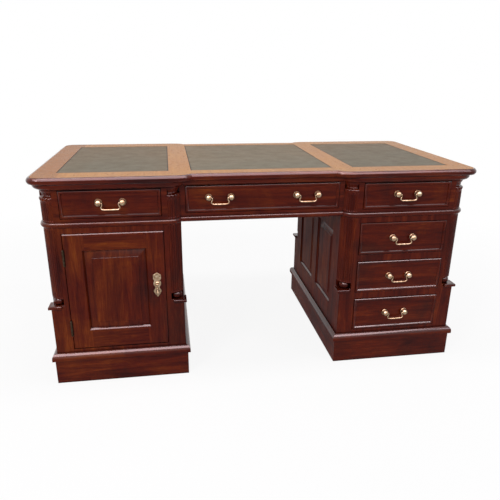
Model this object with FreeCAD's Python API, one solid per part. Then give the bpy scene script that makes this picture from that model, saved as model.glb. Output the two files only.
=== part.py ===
"""Partners desk: a breakfront top unit with six frieze drawers on two pedestals.

Each pedestal has a cupboard on one face and three drawers on the other, and the
desk is the same after a half turn about Z, so a sitter on either side has both.
Millimetres. +X runs along the length, +Y to the second sitter's face and +Z up.
The origin is on the floor under the middle of the desk.
"""

import math
import os

import FreeCAD
import Part
from FreeCAD import Vector

# --- Plan -----------------------------------------------------------------------
DESK_LENGTH = 1600.0            # over the nosing of the top
DESK_DEPTH = 776.0              # over the nosing of the top
PEDESTAL_WIDTH = 472.0
TOP_OVERHANG = 18.0             # from the case to the inner line of the nosing
NOSING_PROJECTION = 11.0
CORNER_RADIUS = 46.0            # quarter columns at the corners of the case
TOP_CORNER_RADIUS = 33.0
TOP_STEP_RADIUS = 50.0          # of the top's edge where the side sections step forward
CORNER_CHORDS = 5               # flats in each rounded corner of a moulding
FRIEZE_RECESS = 30.0            # centre of the frieze behind its side sections
TOP_RECESS = 25.0               # the same step in the edge of the top
TOP_STEP_INSET = 43.0           # side sections of the top past the pedestal's kneehole face

# --- Heights, from the floor up -------------------------------------------------
PLINTH_HEIGHT = 96.0
BASE_MOULDING_HEIGHT = 28.0
BASE_MOULDING_PROJECTION = 17.0
PEDESTAL_FACE_HEIGHT = 480.0    # from the base moulding to the waist
FRIEZE_HEIGHT = 132.0           # from the waist to the cornice
CORNICE_HEIGHT = 20.0
TOP_THICKNESS = 24.0

# --- Case work ------------------------------------------------------------------
POST_WIDTH = 62.5               # corner posts, seen from the drawer face
POST_DEPTH = 62.0
SIDE_FRAME_THICKNESS = 22.0
SIDE_STILE = 57.0               # beside each post
SIDE_MUNTIN = 60.0
SIDE_TOP_RAIL = 87.0
SIDE_BOTTOM_RAIL = 80.0         # seen above the base moulding
FRONT_RAIL_DEPTH = 40.0
FACE_TOP_RAIL = 22.0            # under the waist
FACE_BOTTOM_RAIL = 12.0         # seen above the base moulding
DRAWER_RAIL = 27.0
CARCASE_BOARD = 12.0            # tops, bottoms and dust boards
PARTITION = 18.0                # between the two sitters' halves
SHELF_THICKNESS = 16.0
SHELF_HEIGHT = 235.0            # above the cupboard floor
SHELF_SETBACK = 40.0            # behind the door
CLEAT = 18.0
FRIEZE_BOTTOM_RAIL = 30.0
FRIEZE_TOP_RAIL = 3.0           # seen under the cornice
FRIEZE_POST_WIDTH = 66.0
FRIEZE_PARTITION = 20.0
CENTRE_STILE = 16.5
CENTRE_STILE_DEPTH = 24.0

# --- Top ------------------------------------------------------------------------
LIPPING_WIDTH = 12.0            # inside the nosing line
VENEER = 2.0
NOSING_CHORDS = 5               # flats round the bullnose
CORNICE_PROJECTION = 19.5       # moulding under the top
CORNICE_FILLET = 2.0            # projection of its foot
CORNICE_FACE = 9.0              # upright part above its ovolo
CORNICE_CHORDS = 3
LEATHER_THICKNESS = 1.6
SIDE_BAND = 75.0                # crossbanding at the ends
FRONT_BAND = 81.0               # crossbanding along the side sections
LEATHER_GAP = 78.0              # band between two leathers
CENTRE_LEATHER_LENGTH = 517.0

# --- Corners and mouldings ------------------------------------------------------
FLUTE_COUNT = 9                 # in each quarter column
FLUTE_LAND = 0.25               # share of the pitch left between two flutes
FLUTE_DEPTH = 1.6
FLUTE_CHORDS = 2
CAPITAL_HEIGHT = 40.0
CAPITAL_PROFILE = (             # projections past the column and their heights above its base
    (0.0, 0.0),
    (1.5, 3.0),
    (1.5, 9.0),
    (-8.0, 17.0),
    (-1.0, 34.0),
    (-1.0, CAPITAL_HEIGHT),
)
CORNER_BLOCK_HEIGHT = 179.0     # square foot of each post above the base moulding
LEDGE_THICKNESS = 11.0
LEDGE_SIZE = 46.0
LEDGE_PROJECTION = 9.0
BUN_HEIGHT = 26.0
BUN_RADIUS = 19.0
BUN_BELLY = 13.0                # height of its upright belly
BUN_SIDES = 8
BUN_SEAT_RADIUS = 12.0          # flats of the bun under the column and on the foot
WAIST_HEIGHT = 18.0
WAIST_PROJECTION = 8.0
WAIST_FILLET = 2.5              # flat above and below the bead
BEAD_CHORDS = 4
BASE_NOSE_HEIGHT = 11.0         # upright face of the base moulding
BASE_FILLET = 3.5               # projection of its top edge
PLINTH_PROJECTION = 8.0
PLINTH_BOARD = 26.0
GLUE_BLOCK = 34.0

# --- Drawers --------------------------------------------------------------------
PEDESTAL_DRAWER_HEIGHTS = (127.5, 129.0)    # top and middle; the bottom takes the rest
DRAWER_GAP = 1.2
DRAWER_RUN_CLEARANCE = 0.3
DRAWER_FRONT = 20.0
DRAWER_SIDE = 10.0
DRAWER_BOTTOM = 5.0
DRAWER_BOTTOM_LIFT = 8.0
DRAWER_SIDE_DROP = 14.0         # sides below the top of the front
DRAWER_BACK_DROP = 8.0          # back below the sides
DRAWER_BACK_SPACE = 6.0
GROOVE = 5.0
FRONT_FRAME_WIDTH = 11.0        # half-round frame worked round each front
FRONT_FRAME_PROUD = 4.5
FRAME_CHORDS = 4
RUNNER_WIDTH = 14.0             # ledge under a drawer side
RUNNER_HEIGHT = 16.0
GUIDE_HEIGHT = 20.0

# --- Doors and fielded panels ---------------------------------------------------
DOOR_GAP = 1.5
DOOR_THICKNESS = 22.0
DOOR_PROUD = 2.0
DOOR_STILE = 62.0
DOOR_TOP_RAIL = 61.0
DOOR_BOTTOM_RAIL = 73.0
DOOR_ROUND = 3.0
PANEL_SINK = 1.5                # field below the face of its frame
FIELD_STEP = 2.0
PANEL_BEVEL_WIDTH = 26.0
PANEL_BEVEL_DEPTH = 6.0
PANEL_TONGUE = 5.0
PANEL_TONGUE_DEPTH = 8.0
PANEL_BEAD = 5.0
PANEL_BEAD_FILLET = 1.5         # below the frame's face and at the bead's foot

# --- Brass ----------------------------------------------------------------------
HANDLE_CENTRES = 80.0
CENTRE_HANDLE_INSET = 122.5     # centre drawer's handles from the ends of its opening
FRIEZE_HANDLE_RISE = 6.0        # handle pivots above the middle of the drawer front
PEDESTAL_HANDLE_RISE = 1.0
ROSETTE_RADIUS = 13.0
ROSETTE_SIDES = 8
ROSETTE_RIM = 1.0
ROSETTE_HEIGHT = 5.0
ROSETTE_CROWN_RADIUS = 6.5
EYE_WIDTH = 5.0                 # eyes of the rosettes, along the pivot
EYE_RADIUS = 3.6
BAIL_STAND_OFF = 14.0           # pivot line in front of the drawer face
BAIL_WIRE_RADIUS = 2.4
WIRE_SIDES = 6
PIN_SIDES = 8
BAIL_PIN_RADIUS = 1.75
PIN_CLEARANCE = 0.05            # radial, for every brass pivot
BAIL_SHOULDER_GAP = 0.4
BAIL_SHOULDER_RUN = 4.0
BAIL_NECK_X = 30.5              # half widths of the bail and their depths below the pivot
BAIL_NECK_DROP = 6.0
BAIL_BELLY_X = 33.5
BAIL_BELLY_DROP = 15.0
BAIL_GRIP_X = 28.5
BAIL_DROP = 22.5
HINGE_LENGTH = 60.0
HINGE_BARREL_RADIUS = 3.2
HINGE_PIN_RADIUS = 1.5
HINGE_SIDES = 12
HINGE_LEAF = 1.2
HINGE_LEAF_WIDTH = 20.0
HINGE_END_DISTANCE = 55.0       # hinge ends from the door's top and bottom
KNUCKLE_GAP = 0.3
HINGE_PIN_COVER = 10.0          # solid end of the door's knuckle above the pin
HINGE_PIN_ROOT = 1.0            # the pin's foot above the end of its own knuckle
PULL_PLATE_THICKNESS = 2.0
PULL_PLATE_TOP = 43.0           # ends of the waisted plate above and below the drop's pivot
PULL_PLATE_FOOT = -52.0
PULL_PLATE_SIDE = (             # half widths and their heights from that pivot, downwards
    (10.5, 36.5),
    (15.0, 26.0),
    (9.3, 13.0),
    (15.0, -6.5),
    (9.9, -23.5),
    (12.9, -36.5),
)
PULL_Z = 382.0                  # height of the drop's pivot
DROP_STAND_OFF = 9.0
DROP_SIDES = 8
DROP_PEAR = ((2.2, -44.0), (5.5, -36.0), (4.7, -28.5), (1.7, -17.5))     # radii and heights
DROP_NECK_RADIUS = 1.7
DROP_EYE_RADIUS = 3.0
DROP_EYE_WIDTH = 4.0
DROP_PIN_RADIUS = 1.3
DROP_LUG_WIDTH = 2.0
DROP_LUG_WALL = 1.4             # brass round the pin

# --- Levels and planes worked out from the sizes above --------------------------
Z_CASE = PLINTH_HEIGHT
Z_BASE_TOP = Z_CASE + BASE_MOULDING_HEIGHT
Z_WAIST = Z_BASE_TOP + PEDESTAL_FACE_HEIGHT
Z_FRIEZE = Z_WAIST + WAIST_HEIGHT
Z_CORNICE = Z_WAIST + FRIEZE_HEIGHT
Z_TOP_UNDER = Z_CORNICE + CORNICE_HEIGHT
Z_TOP = Z_TOP_UNDER + TOP_THICKNESS
Z_LEDGE = Z_BASE_TOP + CORNER_BLOCK_HEIGHT
Z_BUN = Z_LEDGE + LEDGE_THICKNESS
Z_COLUMN = Z_BUN + BUN_HEIGHT
Z_CAPITAL = Z_CORNICE - CAPITAL_HEIGHT

NOSING_LINE_X = DESK_LENGTH / 2 - NOSING_PROJECTION
NOSING_LINE_Y = DESK_DEPTH / 2 - NOSING_PROJECTION
OUTER_X = NOSING_LINE_X - TOP_OVERHANG
INNER_X = OUTER_X - PEDESTAL_WIDTH
CASE_Y = NOSING_LINE_Y - TOP_OVERHANG
CENTRE_Y = CASE_Y - FRIEZE_RECESS
PEDESTAL_X = (OUTER_X + INNER_X) / 2

OPENING_WIDTH = PEDESTAL_WIDTH - 2 * POST_WIDTH
OPENING_Z0 = Z_BASE_TOP + FACE_BOTTOM_RAIL
OPENING_Z1 = Z_WAIST - FACE_TOP_RAIL
FRIEZE_Z0 = Z_WAIST + FRIEZE_BOTTOM_RAIL
FRIEZE_Z1 = Z_CORNICE - FRIEZE_TOP_RAIL
FRIEZE_DRAWER_WIDTH = PEDESTAL_WIDTH - 2 * FRIEZE_POST_WIDTH
CENTRE_OPENING = 2 * (INNER_X - CENTRE_STILE)
CENTRE_HANDLE_X = CENTRE_OPENING / 2 - CENTRE_HANDLE_INSET
SIDE_INNER_FACE = PEDESTAL_WIDTH / 2 - SIDE_FRAME_THICKNESS     # from the pedestal's middle
POST_BACK_Y = CASE_Y - POST_DEPTH
RAIL_BACK_Y = CASE_Y - FRONT_RAIL_DEPTH
COLUMN_X = OUTER_X - CORNER_RADIUS      # axis of the outer columns of the right pedestal
COLUMN_Y = CASE_Y - CORNER_RADIUS

X_AXIS = Vector(1, 0, 0)
Y_AXIS = Vector(0, 1, 0)
Z_AXIS = Vector(0, 0, 1)
ORIGIN = Vector(0, 0, 0)


# --- Shape helpers --------------------------------------------------------------
def box(x_range, y_range, z_range):
    """A rectangular block that fills three ranges."""
    x0, x1 = sorted(x_range)
    y0, y1 = sorted(y_range)
    z0, z1 = sorted(z_range)
    return Part.makeBox(x1 - x0, y1 - y0, z1 - z0, Vector(x0, y0, z0))


def prism(plan, z0, z1):
    """An upright prism on a plan outline."""
    points = [Vector(x, y, z0) for x, y in plan]
    face = Part.Face(Part.makePolygon(points + points[:1]))
    return face.extrude(Vector(0, 0, z1 - z0))


def mirrored(shapes, normal):
    """Copies of the shapes reflected through the origin's plane."""
    return [shape.mirror(ORIGIN, normal) for shape in shapes]


def both_ends(shapes):
    """The shapes and their reflections at the other end of the desk."""
    return shapes + mirrored(shapes, X_AXIS)


def both_faces(shapes):
    """The shapes and their reflections on the other sitter's face."""
    return shapes + mirrored(shapes, Y_AXIS)


def turned(shapes, angle):
    """Copies of the shapes turned about Z."""
    copies = []
    for shape in shapes:
        copy = shape.copy()
        copy.rotate(ORIGIN, Z_AXIS, angle)
        copies.append(copy)
    return copies


def moved(shapes, x, y, z):
    """Copies of the shapes shifted."""
    return [shape.translated(Vector(x, y, z)) for shape in shapes]


def stood_up(shapes, x, y, z):
    """Shapes drawn lying face up, stood to face -Y with their origin at a point."""
    copies = []
    for shape in shapes:
        copy = shape.copy()
        copy.rotate(ORIGIN, X_AXIS, 90)
        copy.translate(Vector(x, y, z))
        copies.append(copy)
    return copies


def flat_face(corners):
    return Part.Face(Part.makePolygon(corners + corners[:1]))


def flat_sided(rings):
    """A solid with flat faces between rings that have as many corners each."""
    faces = [flat_face(rings[0]), flat_face(rings[-1])]
    for low, high in zip(rings, rings[1:]):
        for i, corner in enumerate(low):
            j = (i + 1) % len(low)
            faces.append(flat_face([corner, low[j], high[j], high[i]]))
    solid = Part.Solid(Part.Shell(faces))
    if solid.Volume < 0:
        solid.reverse()
    return solid


def turning(sides, *rings):
    """A many-sided piece turned about Z: each ring is a radius and a height."""
    outlines = []
    for radius, z in rings:
        corners = []
        for i in range(sides):
            angle = 2 * math.pi * (i + 0.5) / sides
            corners.append(Vector(radius * math.cos(angle), radius * math.sin(angle), z))
        outlines.append(corners)
    return flat_sided(outlines)


def along_x(shape, x, z):
    """A shape drawn about the Z axis, laid along X with its foot at a point."""
    copy = shape.copy()
    copy.rotate(ORIGIN, Y_AXIS, 90)
    copy.translate(Vector(x, 0, z))
    return copy


def joined(shapes):
    """One solid from shapes that meet."""
    return shapes[0].multiFuse(shapes[1:]).removeSplitter().Solids[0]


def rectangle(width, height):
    """Counter-clockwise corners about the origin."""
    x = width / 2
    y = height / 2
    return [(-x, -y), (x, -y), (x, y), (-x, y)]


def arc_points(centre, radii, start, end, chords):
    """Points along an arc of an ellipse, between two angles in degrees."""
    points = []
    for i in range(chords + 1):
        angle = math.radians(start + (end - start) * i / chords)
        points.append((centre[0] + radii[0] * math.cos(angle), centre[1] + radii[1] * math.sin(angle)))
    return points


def in_front_of(arc, y):
    """The part of an arc's points that lies beyond a plane of constant Y, from the plane on."""
    kept = [point for point in arc if point[1] < y]
    x0, y0 = arc[len(arc) - len(kept) - 1]
    x1, y1 = kept[0]
    return [(x0 + (x1 - x0) * (y - y0) / (y1 - y0), y)] + kept


def stepped_outline(centre_y, side_y, step_x, end_x, step_radius, end_radius):
    """Corners of a breakfront plan in order round it, each as the points of its arc.

    Each side section runs from step_x to end_x with its front corners rounded.
    """
    step_centre = (step_x + step_radius, step_radius - side_y)
    end_centre = (end_x - end_radius, end_radius - side_y)
    step = arc_points(step_centre, (step_radius, step_radius), 180, 270, CORNER_CHORDS)
    corner = arc_points(end_centre, (end_radius, end_radius), 270, 360, CORNER_CHORDS)
    quarter = [in_front_of(step, -centre_y), corner]
    right_back = [[(x, -y) for x, y in reversed(arc)] for arc in reversed(quarter)]
    left_back = [[(-x, -y) for x, y in arc] for arc in quarter]
    left_front = [[(-x, y) for x, y in reversed(arc)] for arc in reversed(quarter)]
    return quarter + right_back + left_back + left_front


def points_of(corners):
    """The whole loop of an outline given corner by corner."""
    return [point for arc in corners for point in arc]


def mitre_vectors(loop):
    """For each corner of a counter-clockwise loop, its shift for an outward offset of one."""
    normals = []
    for (x0, y0), (x1, y1) in zip(loop, loop[1:] + loop[:1]):
        normals.append(Vector(y1 - y0, x0 - x1, 0).normalize())
    vectors = []
    for before, after in zip(normals[-1:] + normals[:-1], normals):
        vectors.append((before + after) * (1 / (1 + before.dot(after))))
    return vectors


def offset_outline(loop, distance):
    """The loop moved outwards, with its corners kept sharp."""
    return [(x + m.x * distance, y + m.y * distance) for (x, y), m in zip(loop, mitre_vectors(loop))]


def moulding(corners, profile):
    """A moulding round an outline: one solid for each straight length and rounded corner.

    The profile's points are its projection out of the outline and its height.
    """
    loop = points_of(corners)
    rings = []
    for (x, y), out in zip(loop, mitre_vectors(loop)):
        rings.append([Vector(x + out.x * reach, y + out.y * reach, z) for reach, z in profile])
    lengths = []
    first = 0
    for arc in corners:
        last = first + len(arc) - 1
        if last > first:
            lengths.append(flat_sided(rings[first:last + 1]))
        lengths.append(flat_sided([rings[last], rings[(last + 1) % len(rings)]]))
        first = last + 1
    return lengths


def square_cornered(loop):
    """An outline's corners where none is rounded."""
    return [[point] for point in loop]


def write_node(name, shapes):
    """Write one sub-part as its own STEP file."""
    Part.makeCompound(shapes).exportStep(os.path.join("parts", name + ".step"))


# --- Outlines -------------------------------------------------------------------
def frieze_outline():
    """Plan of the frieze: round corners and a recessed centre on both faces."""
    return stepped_outline(CENTRE_Y, CASE_Y, INNER_X, OUTER_X, CORNER_RADIUS, CORNER_RADIUS)


def top_outline():
    """Plan of the top inside its nosing."""
    return stepped_outline(
        NOSING_LINE_Y - TOP_RECESS,
        NOSING_LINE_Y,
        INNER_X - TOP_STEP_INSET,
        NOSING_LINE_X,
        TOP_STEP_RADIUS,
        TOP_CORNER_RADIUS,
    )


def pedestal_outline():
    """Square plan of the right pedestal."""
    return square_cornered([(INNER_X, -CASE_Y), (OUTER_X, -CASE_Y), (OUTER_X, CASE_Y), (INNER_X, CASE_Y)])


# --- Top ------------------------------------------------------------------------
def leather_ranges():
    """X range and Y range of the three leathers, left to right."""
    half_depth = NOSING_LINE_Y - FRONT_BAND
    centre = CENTRE_LEATHER_LENGTH / 2
    side_in = centre + LEATHER_GAP
    side_out = NOSING_LINE_X - SIDE_BAND
    depth = (-half_depth, half_depth)
    return [((-side_out, -side_in), depth), ((-centre, centre), depth), ((side_in, side_out), depth)]


def top_board():
    plan = offset_outline(points_of(top_outline()), -LIPPING_WIDTH)
    return [prism(plan, Z_TOP_UNDER, Z_TOP - VENEER)]


def top_edge_moulding():
    """Bullnose lipping with a rebate for the veneer."""
    half = TOP_THICKNESS / 2
    nose = arc_points((0, Z_TOP_UNDER + half), (NOSING_PROJECTION, half), -90, 90, NOSING_CHORDS)
    rebate = [(0, Z_TOP - VENEER), (-LIPPING_WIDTH, Z_TOP - VENEER), (-LIPPING_WIDTH, Z_TOP_UNDER)]
    return moulding(top_outline(), nose + rebate)


def top_crossbanding():
    sheet = prism(points_of(top_outline()), Z_TOP - VENEER, Z_TOP)
    for x_range, y_range in leather_ranges():
        sheet = sheet.cut(box(x_range, y_range, (Z_TOP - VENEER, Z_TOP)))
    return [sheet]


def top_leathers():
    z_range = (Z_TOP - VENEER, Z_TOP - VENEER + LEATHER_THICKNESS)
    return [box(x_range, y_range, z_range) for x_range, y_range in leather_ranges()]


def top_under_moulding():
    """Cornice between the frieze and the top: an upright face over an ovolo."""
    face_z = Z_TOP_UNDER - CORNICE_FACE
    radii = (CORNICE_PROJECTION - CORNICE_FILLET, face_z - Z_CORNICE)
    ovolo = arc_points((CORNICE_FILLET, face_z), radii, -90, 0, CORNICE_CHORDS)
    profile = [(0, Z_CORNICE)] + ovolo + [(CORNICE_PROJECTION, Z_TOP_UNDER), (0, Z_TOP_UNDER)]
    return moulding(frieze_outline(), profile)


# --- Corner posts and columns ---------------------------------------------------
def to_inner_post(shapes):
    """Copies of a right pedestal's outer pieces, reflected to its kneehole side."""
    plane = Vector(PEDESTAL_X, 0, 0)
    return [shape.mirror(plane, X_AXIS) for shape in shapes]


def at_all_corners(shapes):
    """Copies of pieces of the right front outer corner at the eight corners of the pedestals."""
    return both_ends(both_faces(shapes + to_inner_post(shapes)))


def column_arc(radius, chords):
    """Arc about the axis of the right front outer column, from the front to the end."""
    return arc_points((COLUMN_X, -COLUMN_Y), (radius, radius), 270, 360, chords)


def square_post(width, z0, z1):
    """Right front outer post before it is worked."""
    return box((OUTER_X - width, OUTER_X), (-CASE_Y, -POST_BACK_Y), (z0, z1))


def rebated_post(width, z0, z1):
    """The same post, rebated for its quarter column."""
    return square_post(width, z0, z1).cut(box((COLUMN_X, OUTER_X), (-CASE_Y, -COLUMN_Y), (z0, z1)))


def rounded_post(width, z0, z1):
    """The same post where it is left whole and rounded behind a moulding."""
    inner_x = OUTER_X - width
    back = [(OUTER_X, -POST_BACK_Y), (inner_x, -POST_BACK_Y), (inner_x, -CASE_Y)]
    return prism(column_arc(CORNER_RADIUS, CORNER_CHORDS) + back, z0, z1)


def column_shaft(z0, z1):
    """Fluted quarter column that fills the rebate of the right front outer post."""
    pitch = 90 / FLUTE_COUNT
    land = FLUTE_LAND * pitch
    plan = [(COLUMN_X, -COLUMN_Y), (COLUMN_X, -CASE_Y)]
    for i in range(FLUTE_COUNT):
        first = 270 + i * pitch + land / 2
        sweep = pitch - land
        for j in range(FLUTE_CHORDS + 1):
            share = j / FLUTE_CHORDS
            radius = CORNER_RADIUS - FLUTE_DEPTH * math.sin(math.pi * share)
            angle = math.radians(first + share * sweep)
            plan.append((COLUMN_X + radius * math.cos(angle), -COLUMN_Y + radius * math.sin(angle)))
    plan.append((OUTER_X, -COLUMN_Y))
    return prism(plan, z0, z1)


def fluted_columns():
    shafts = [column_shaft(Z_FRIEZE, Z_CAPITAL), column_shaft(Z_COLUMN, Z_WAIST)]
    return at_all_corners(shafts)


def capital():
    """Capital of the right front outer column: a roll, a hollow throat and an abacus."""
    rings = []
    for reach, rise in CAPITAL_PROFILE:
        plan = [(COLUMN_X, -COLUMN_Y)] + column_arc(CORNER_RADIUS + reach, CORNER_CHORDS)
        rings.append([Vector(x, y, Z_CAPITAL + rise) for x, y in plan])
    return flat_sided(rings)


def ledge():
    """Square ledge round the top of the right front outer post's foot."""
    edge = OUTER_X + LEDGE_PROJECTION
    front = -CASE_Y - LEDGE_PROJECTION
    block = box((edge - LEDGE_SIZE, edge), (front, front + LEDGE_SIZE), (Z_LEDGE, Z_BUN))
    return block.cut(box((COLUMN_X, OUTER_X), (-CASE_Y, -COLUMN_Y), (Z_LEDGE, Z_BUN)))


def bun():
    """Turned bun between the post's foot and the column that stands on it."""
    shoulder = (BUN_HEIGHT - BUN_BELLY) / 2
    shape = turning(
        BUN_SIDES,
        (BUN_SEAT_RADIUS, Z_BUN),
        (BUN_RADIUS, Z_BUN + shoulder),
        (BUN_RADIUS, Z_COLUMN - shoulder),
        (BUN_SEAT_RADIUS, Z_COLUMN),
    )
    inset = (CORNER_RADIUS - BUN_RADIUS) / math.sqrt(2)
    return shape.translated(Vector(COLUMN_X + inset, -COLUMN_Y - inset, 0))


def column_carvings():
    return at_all_corners([capital(), ledge(), bun()])


# --- Frieze ---------------------------------------------------------------------
def frieze_post():
    """Right front outer post: rebated for its column between the two mouldings."""
    return joined([
        rounded_post(FRIEZE_POST_WIDTH, Z_WAIST, Z_FRIEZE),
        rebated_post(FRIEZE_POST_WIDTH, Z_FRIEZE, Z_CORNICE),
        rounded_post(FRIEZE_POST_WIDTH, Z_CORNICE, Z_TOP_UNDER),
    ])


def column_room():
    """Space of the right front outer column above the waist, with flats that touch its lands."""
    radius = CORNER_RADIUS / math.cos(math.pi / (4 * CORNER_CHORDS))
    return prism([(COLUMN_X, -COLUMN_Y)] + column_arc(radius, CORNER_CHORDS), Z_FRIEZE, Z_CORNICE)


def centre_front(beside):
    """Rails and stiles of the recessed centre, scribed to the pieces and columns beside it."""
    reach = frieze_outline()[0][0][0]
    rail_y = (-CENTRE_Y, FRONT_RAIL_DEPTH - CENTRE_Y)
    stile_y = (-CENTRE_Y, CENTRE_STILE_DEPTH - CENTRE_Y)
    bars = [
        box((-reach, reach), rail_y, (Z_WAIST, FRIEZE_Z0)),
        box((-reach, reach), rail_y, (FRIEZE_Z1, Z_TOP_UNDER)),
    ]
    bars += both_ends([box((CENTRE_OPENING / 2, reach), stile_y, (FRIEZE_Z0, FRIEZE_Z1))])
    beside = beside + both_ends(to_inner_post([column_room(), capital()]))
    return [bar.cut(beside) for bar in bars]


def frieze_case():
    posts = at_all_corners([frieze_post()])

    end_x = (OUTER_X - FRIEZE_PARTITION, OUTER_X)
    end_board = box(end_x, (-POST_BACK_Y, POST_BACK_Y), (Z_WAIST, Z_TOP_UNDER))
    boards = both_ends([end_board] + to_inner_post([end_board]))

    rail_x = (INNER_X + FRIEZE_POST_WIDTH, OUTER_X - FRIEZE_POST_WIDTH)
    rail_y = (-CASE_Y, -RAIL_BACK_Y)
    side_rails = [
        box(rail_x, rail_y, (Z_WAIST, FRIEZE_Z0)),
        box(rail_x, rail_y, (FRIEZE_Z1, Z_TOP_UNDER)),
    ]
    front = both_ends(side_rails) + centre_front(posts + boards)

    side_x = (INNER_X + FRIEZE_PARTITION, OUTER_X - FRIEZE_PARTITION)
    centre_x = (-INNER_X, INNER_X)
    centre_back = CENTRE_Y - FRONT_RAIL_DEPTH
    half = PARTITION / 2
    side_partition = box(side_x, (-half, half), (Z_WAIST + CARCASE_BOARD, Z_TOP_UNDER))
    centre_partition = box(centre_x, (-half, half), (Z_WAIST + CARCASE_BOARD, Z_TOP_UNDER))
    side_floor = box(side_x, (-RAIL_BACK_Y, RAIL_BACK_Y), (Z_WAIST, Z_WAIST + CARCASE_BOARD)).cut(posts)
    centre_floor = box(centre_x, (-centre_back, centre_back), (Z_WAIST, Z_WAIST + CARCASE_BOARD))
    inside = both_ends([side_partition, side_floor]) + [centre_partition, centre_floor]
    return posts + boards + both_faces(front) + inside


def waist_moulding():
    """Half-round bead between two fillets, round the foot of the frieze."""
    half = WAIST_HEIGHT / 2
    radii = (WAIST_PROJECTION - WAIST_FILLET, half)
    bead = arc_points((WAIST_FILLET, Z_WAIST + half), radii, -90, 90, BEAD_CHORDS)
    return moulding(frieze_outline(), [(0, Z_WAIST)] + bead + [(0, Z_FRIEZE)])


# --- Pedestals ------------------------------------------------------------------
def corner_post():
    """Right front outer post: square at the foot and rebated for its column above the bun."""
    return joined([square_post(POST_WIDTH, Z_CASE, Z_BUN), rebated_post(POST_WIDTH, Z_BUN, Z_WAIST)])


def panel_opening_y():
    """Near and far edges of a side panel from the desk's middle."""
    return SIDE_MUNTIN / 2, POST_BACK_Y - SIDE_STILE


def side_panel_z():
    return Z_BASE_TOP + SIDE_BOTTOM_RAIL, Z_WAIST - SIDE_TOP_RAIL


def fielded_panel(width, height):
    """Raised panel for an opening, drawn face up with z = 0 at its frame's face."""
    field_z = -PANEL_SINK
    bevel_z = field_z - FIELD_STEP
    foot_z = bevel_z - PANEL_BEVEL_DEPTH
    tongue = box(
        (-width / 2 - PANEL_TONGUE_DEPTH, width / 2 + PANEL_TONGUE_DEPTH),
        (-height / 2 - PANEL_TONGUE_DEPTH, height / 2 + PANEL_TONGUE_DEPTH),
        (foot_z - PANEL_TONGUE, foot_z),
    )
    inset = PANEL_BEAD + PANEL_BEVEL_WIDTH
    rings = []
    for z, shrink in ((foot_z, 2 * PANEL_BEAD), (bevel_z, 2 * inset)):
        rings.append([Vector(x, y, z) for x, y in rectangle(width - shrink, height - shrink)])
    bevel = flat_sided(rings)
    field_x = (inset - width / 2, width / 2 - inset)
    field_y = (inset - height / 2, height / 2 - inset)
    field = box(field_x, field_y, (bevel_z, field_z))
    bead = [
        (-PANEL_BEAD, foot_z),
        (0, foot_z),
        (0, -PANEL_BEAD_FILLET),
        (-PANEL_BEAD, foot_z + PANEL_BEAD_FILLET),
    ]
    beads = joined(moulding(square_cornered(rectangle(width, height)), bead))
    return joined([tongue, bevel, field]), beads


def panel_groove(width, height):
    """The space that a panel's tongue fills in its frame, drawn like the panel."""
    foot_z = -PANEL_SINK - FIELD_STEP - PANEL_BEVEL_DEPTH
    return box(
        (-width / 2 - PANEL_TONGUE_DEPTH, width / 2 + PANEL_TONGUE_DEPTH),
        (-height / 2 - PANEL_TONGUE_DEPTH, height / 2 + PANEL_TONGUE_DEPTH),
        (foot_z - PANEL_TONGUE, foot_z),
    )


def on_outer_side(shapes, y, z):
    """Face-up pieces stood on the right pedestal's outer side, facing +X."""
    standing = turned(stood_up(shapes, 0, 0, 0), 90)
    return moved(standing, OUTER_X, y, z)


def side_panels():
    """Fielded panels and their beads in the right pedestal's two sides."""
    near, far = panel_opening_y()
    z0, z1 = side_panel_z()
    panel = list(fielded_panel(far - near, z1 - z0))
    outer = on_outer_side(panel, (near + far) / 2, (z0 + z1) / 2)
    return both_faces(outer + to_inner_post(outer))


def side_frame():
    """Stiles, rails and muntin of the right pedestal's outer side."""
    near, far = panel_opening_y()
    z0, z1 = side_panel_z()
    x_range = (OUTER_X - SIDE_FRAME_THICKNESS, OUTER_X)
    stiles = both_faces([box(x_range, (far, POST_BACK_Y), (Z_CASE, Z_WAIST))])
    bars = [
        box(x_range, (-far, far), (Z_CASE, z0)),
        box(x_range, (-far, far), (z1, Z_WAIST)),
        box(x_range, (-near, near), (z0, z1)),
    ]
    groove = on_outer_side([panel_groove(far - near, z1 - z0)], (near + far) / 2, (z0 + z1) / 2)
    pieces = []
    for piece in stiles + bars:
        for cutter in both_faces(groove):
            piece = piece.cut(cutter)
        pieces.append(piece)
    return pieces


def drawer_levels():
    """Bottom and top of the right pedestal's drawer openings, from the top down."""
    levels = []
    z1 = OPENING_Z1
    for height in PEDESTAL_DRAWER_HEIGHTS:
        levels.append((z1 - height, z1))
        z1 -= height + DRAWER_RAIL
    levels.append((OPENING_Z0, z1))
    return levels


def face_rail(z0, z1):
    """A rail between the right pedestal's front posts."""
    half = OPENING_WIDTH / 2
    return box((PEDESTAL_X - half, PEDESTAL_X + half), (-CASE_Y, -RAIL_BACK_Y), (z0, z1))


def face_rails():
    return [face_rail(Z_CASE, OPENING_Z0), face_rail(OPENING_Z1, Z_WAIST)]


def drawer_rails():
    """Rails between the three drawers of the right pedestal's front."""
    levels = drawer_levels()
    return [face_rail(below[1], above[0]) for above, below in zip(levels, levels[1:])]


def inside_x():
    return PEDESTAL_X - SIDE_INNER_FACE, PEDESTAL_X + SIDE_INNER_FACE


def shelf_z():
    return OPENING_Z0 + SHELF_HEIGHT


def cupboard_fittings():
    """Shelf and its cleats behind the door, drawn in the right pedestal's back half."""
    x0, x1 = inside_x()
    z = shelf_z()
    front = CASE_Y - FRONT_RAIL_DEPTH - SHELF_SETBACK
    back = PARTITION / 2
    shelf = box((x0, x1), (back, front), (z, z + SHELF_THICKNESS))
    cleat_y = (back, front)
    cleats = [
        box((x0, x0 + CLEAT), cleat_y, (z - CLEAT, z)),
        box((x1 - CLEAT, x1), cleat_y, (z - CLEAT, z)),
    ]
    return [shelf] + cleats


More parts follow.
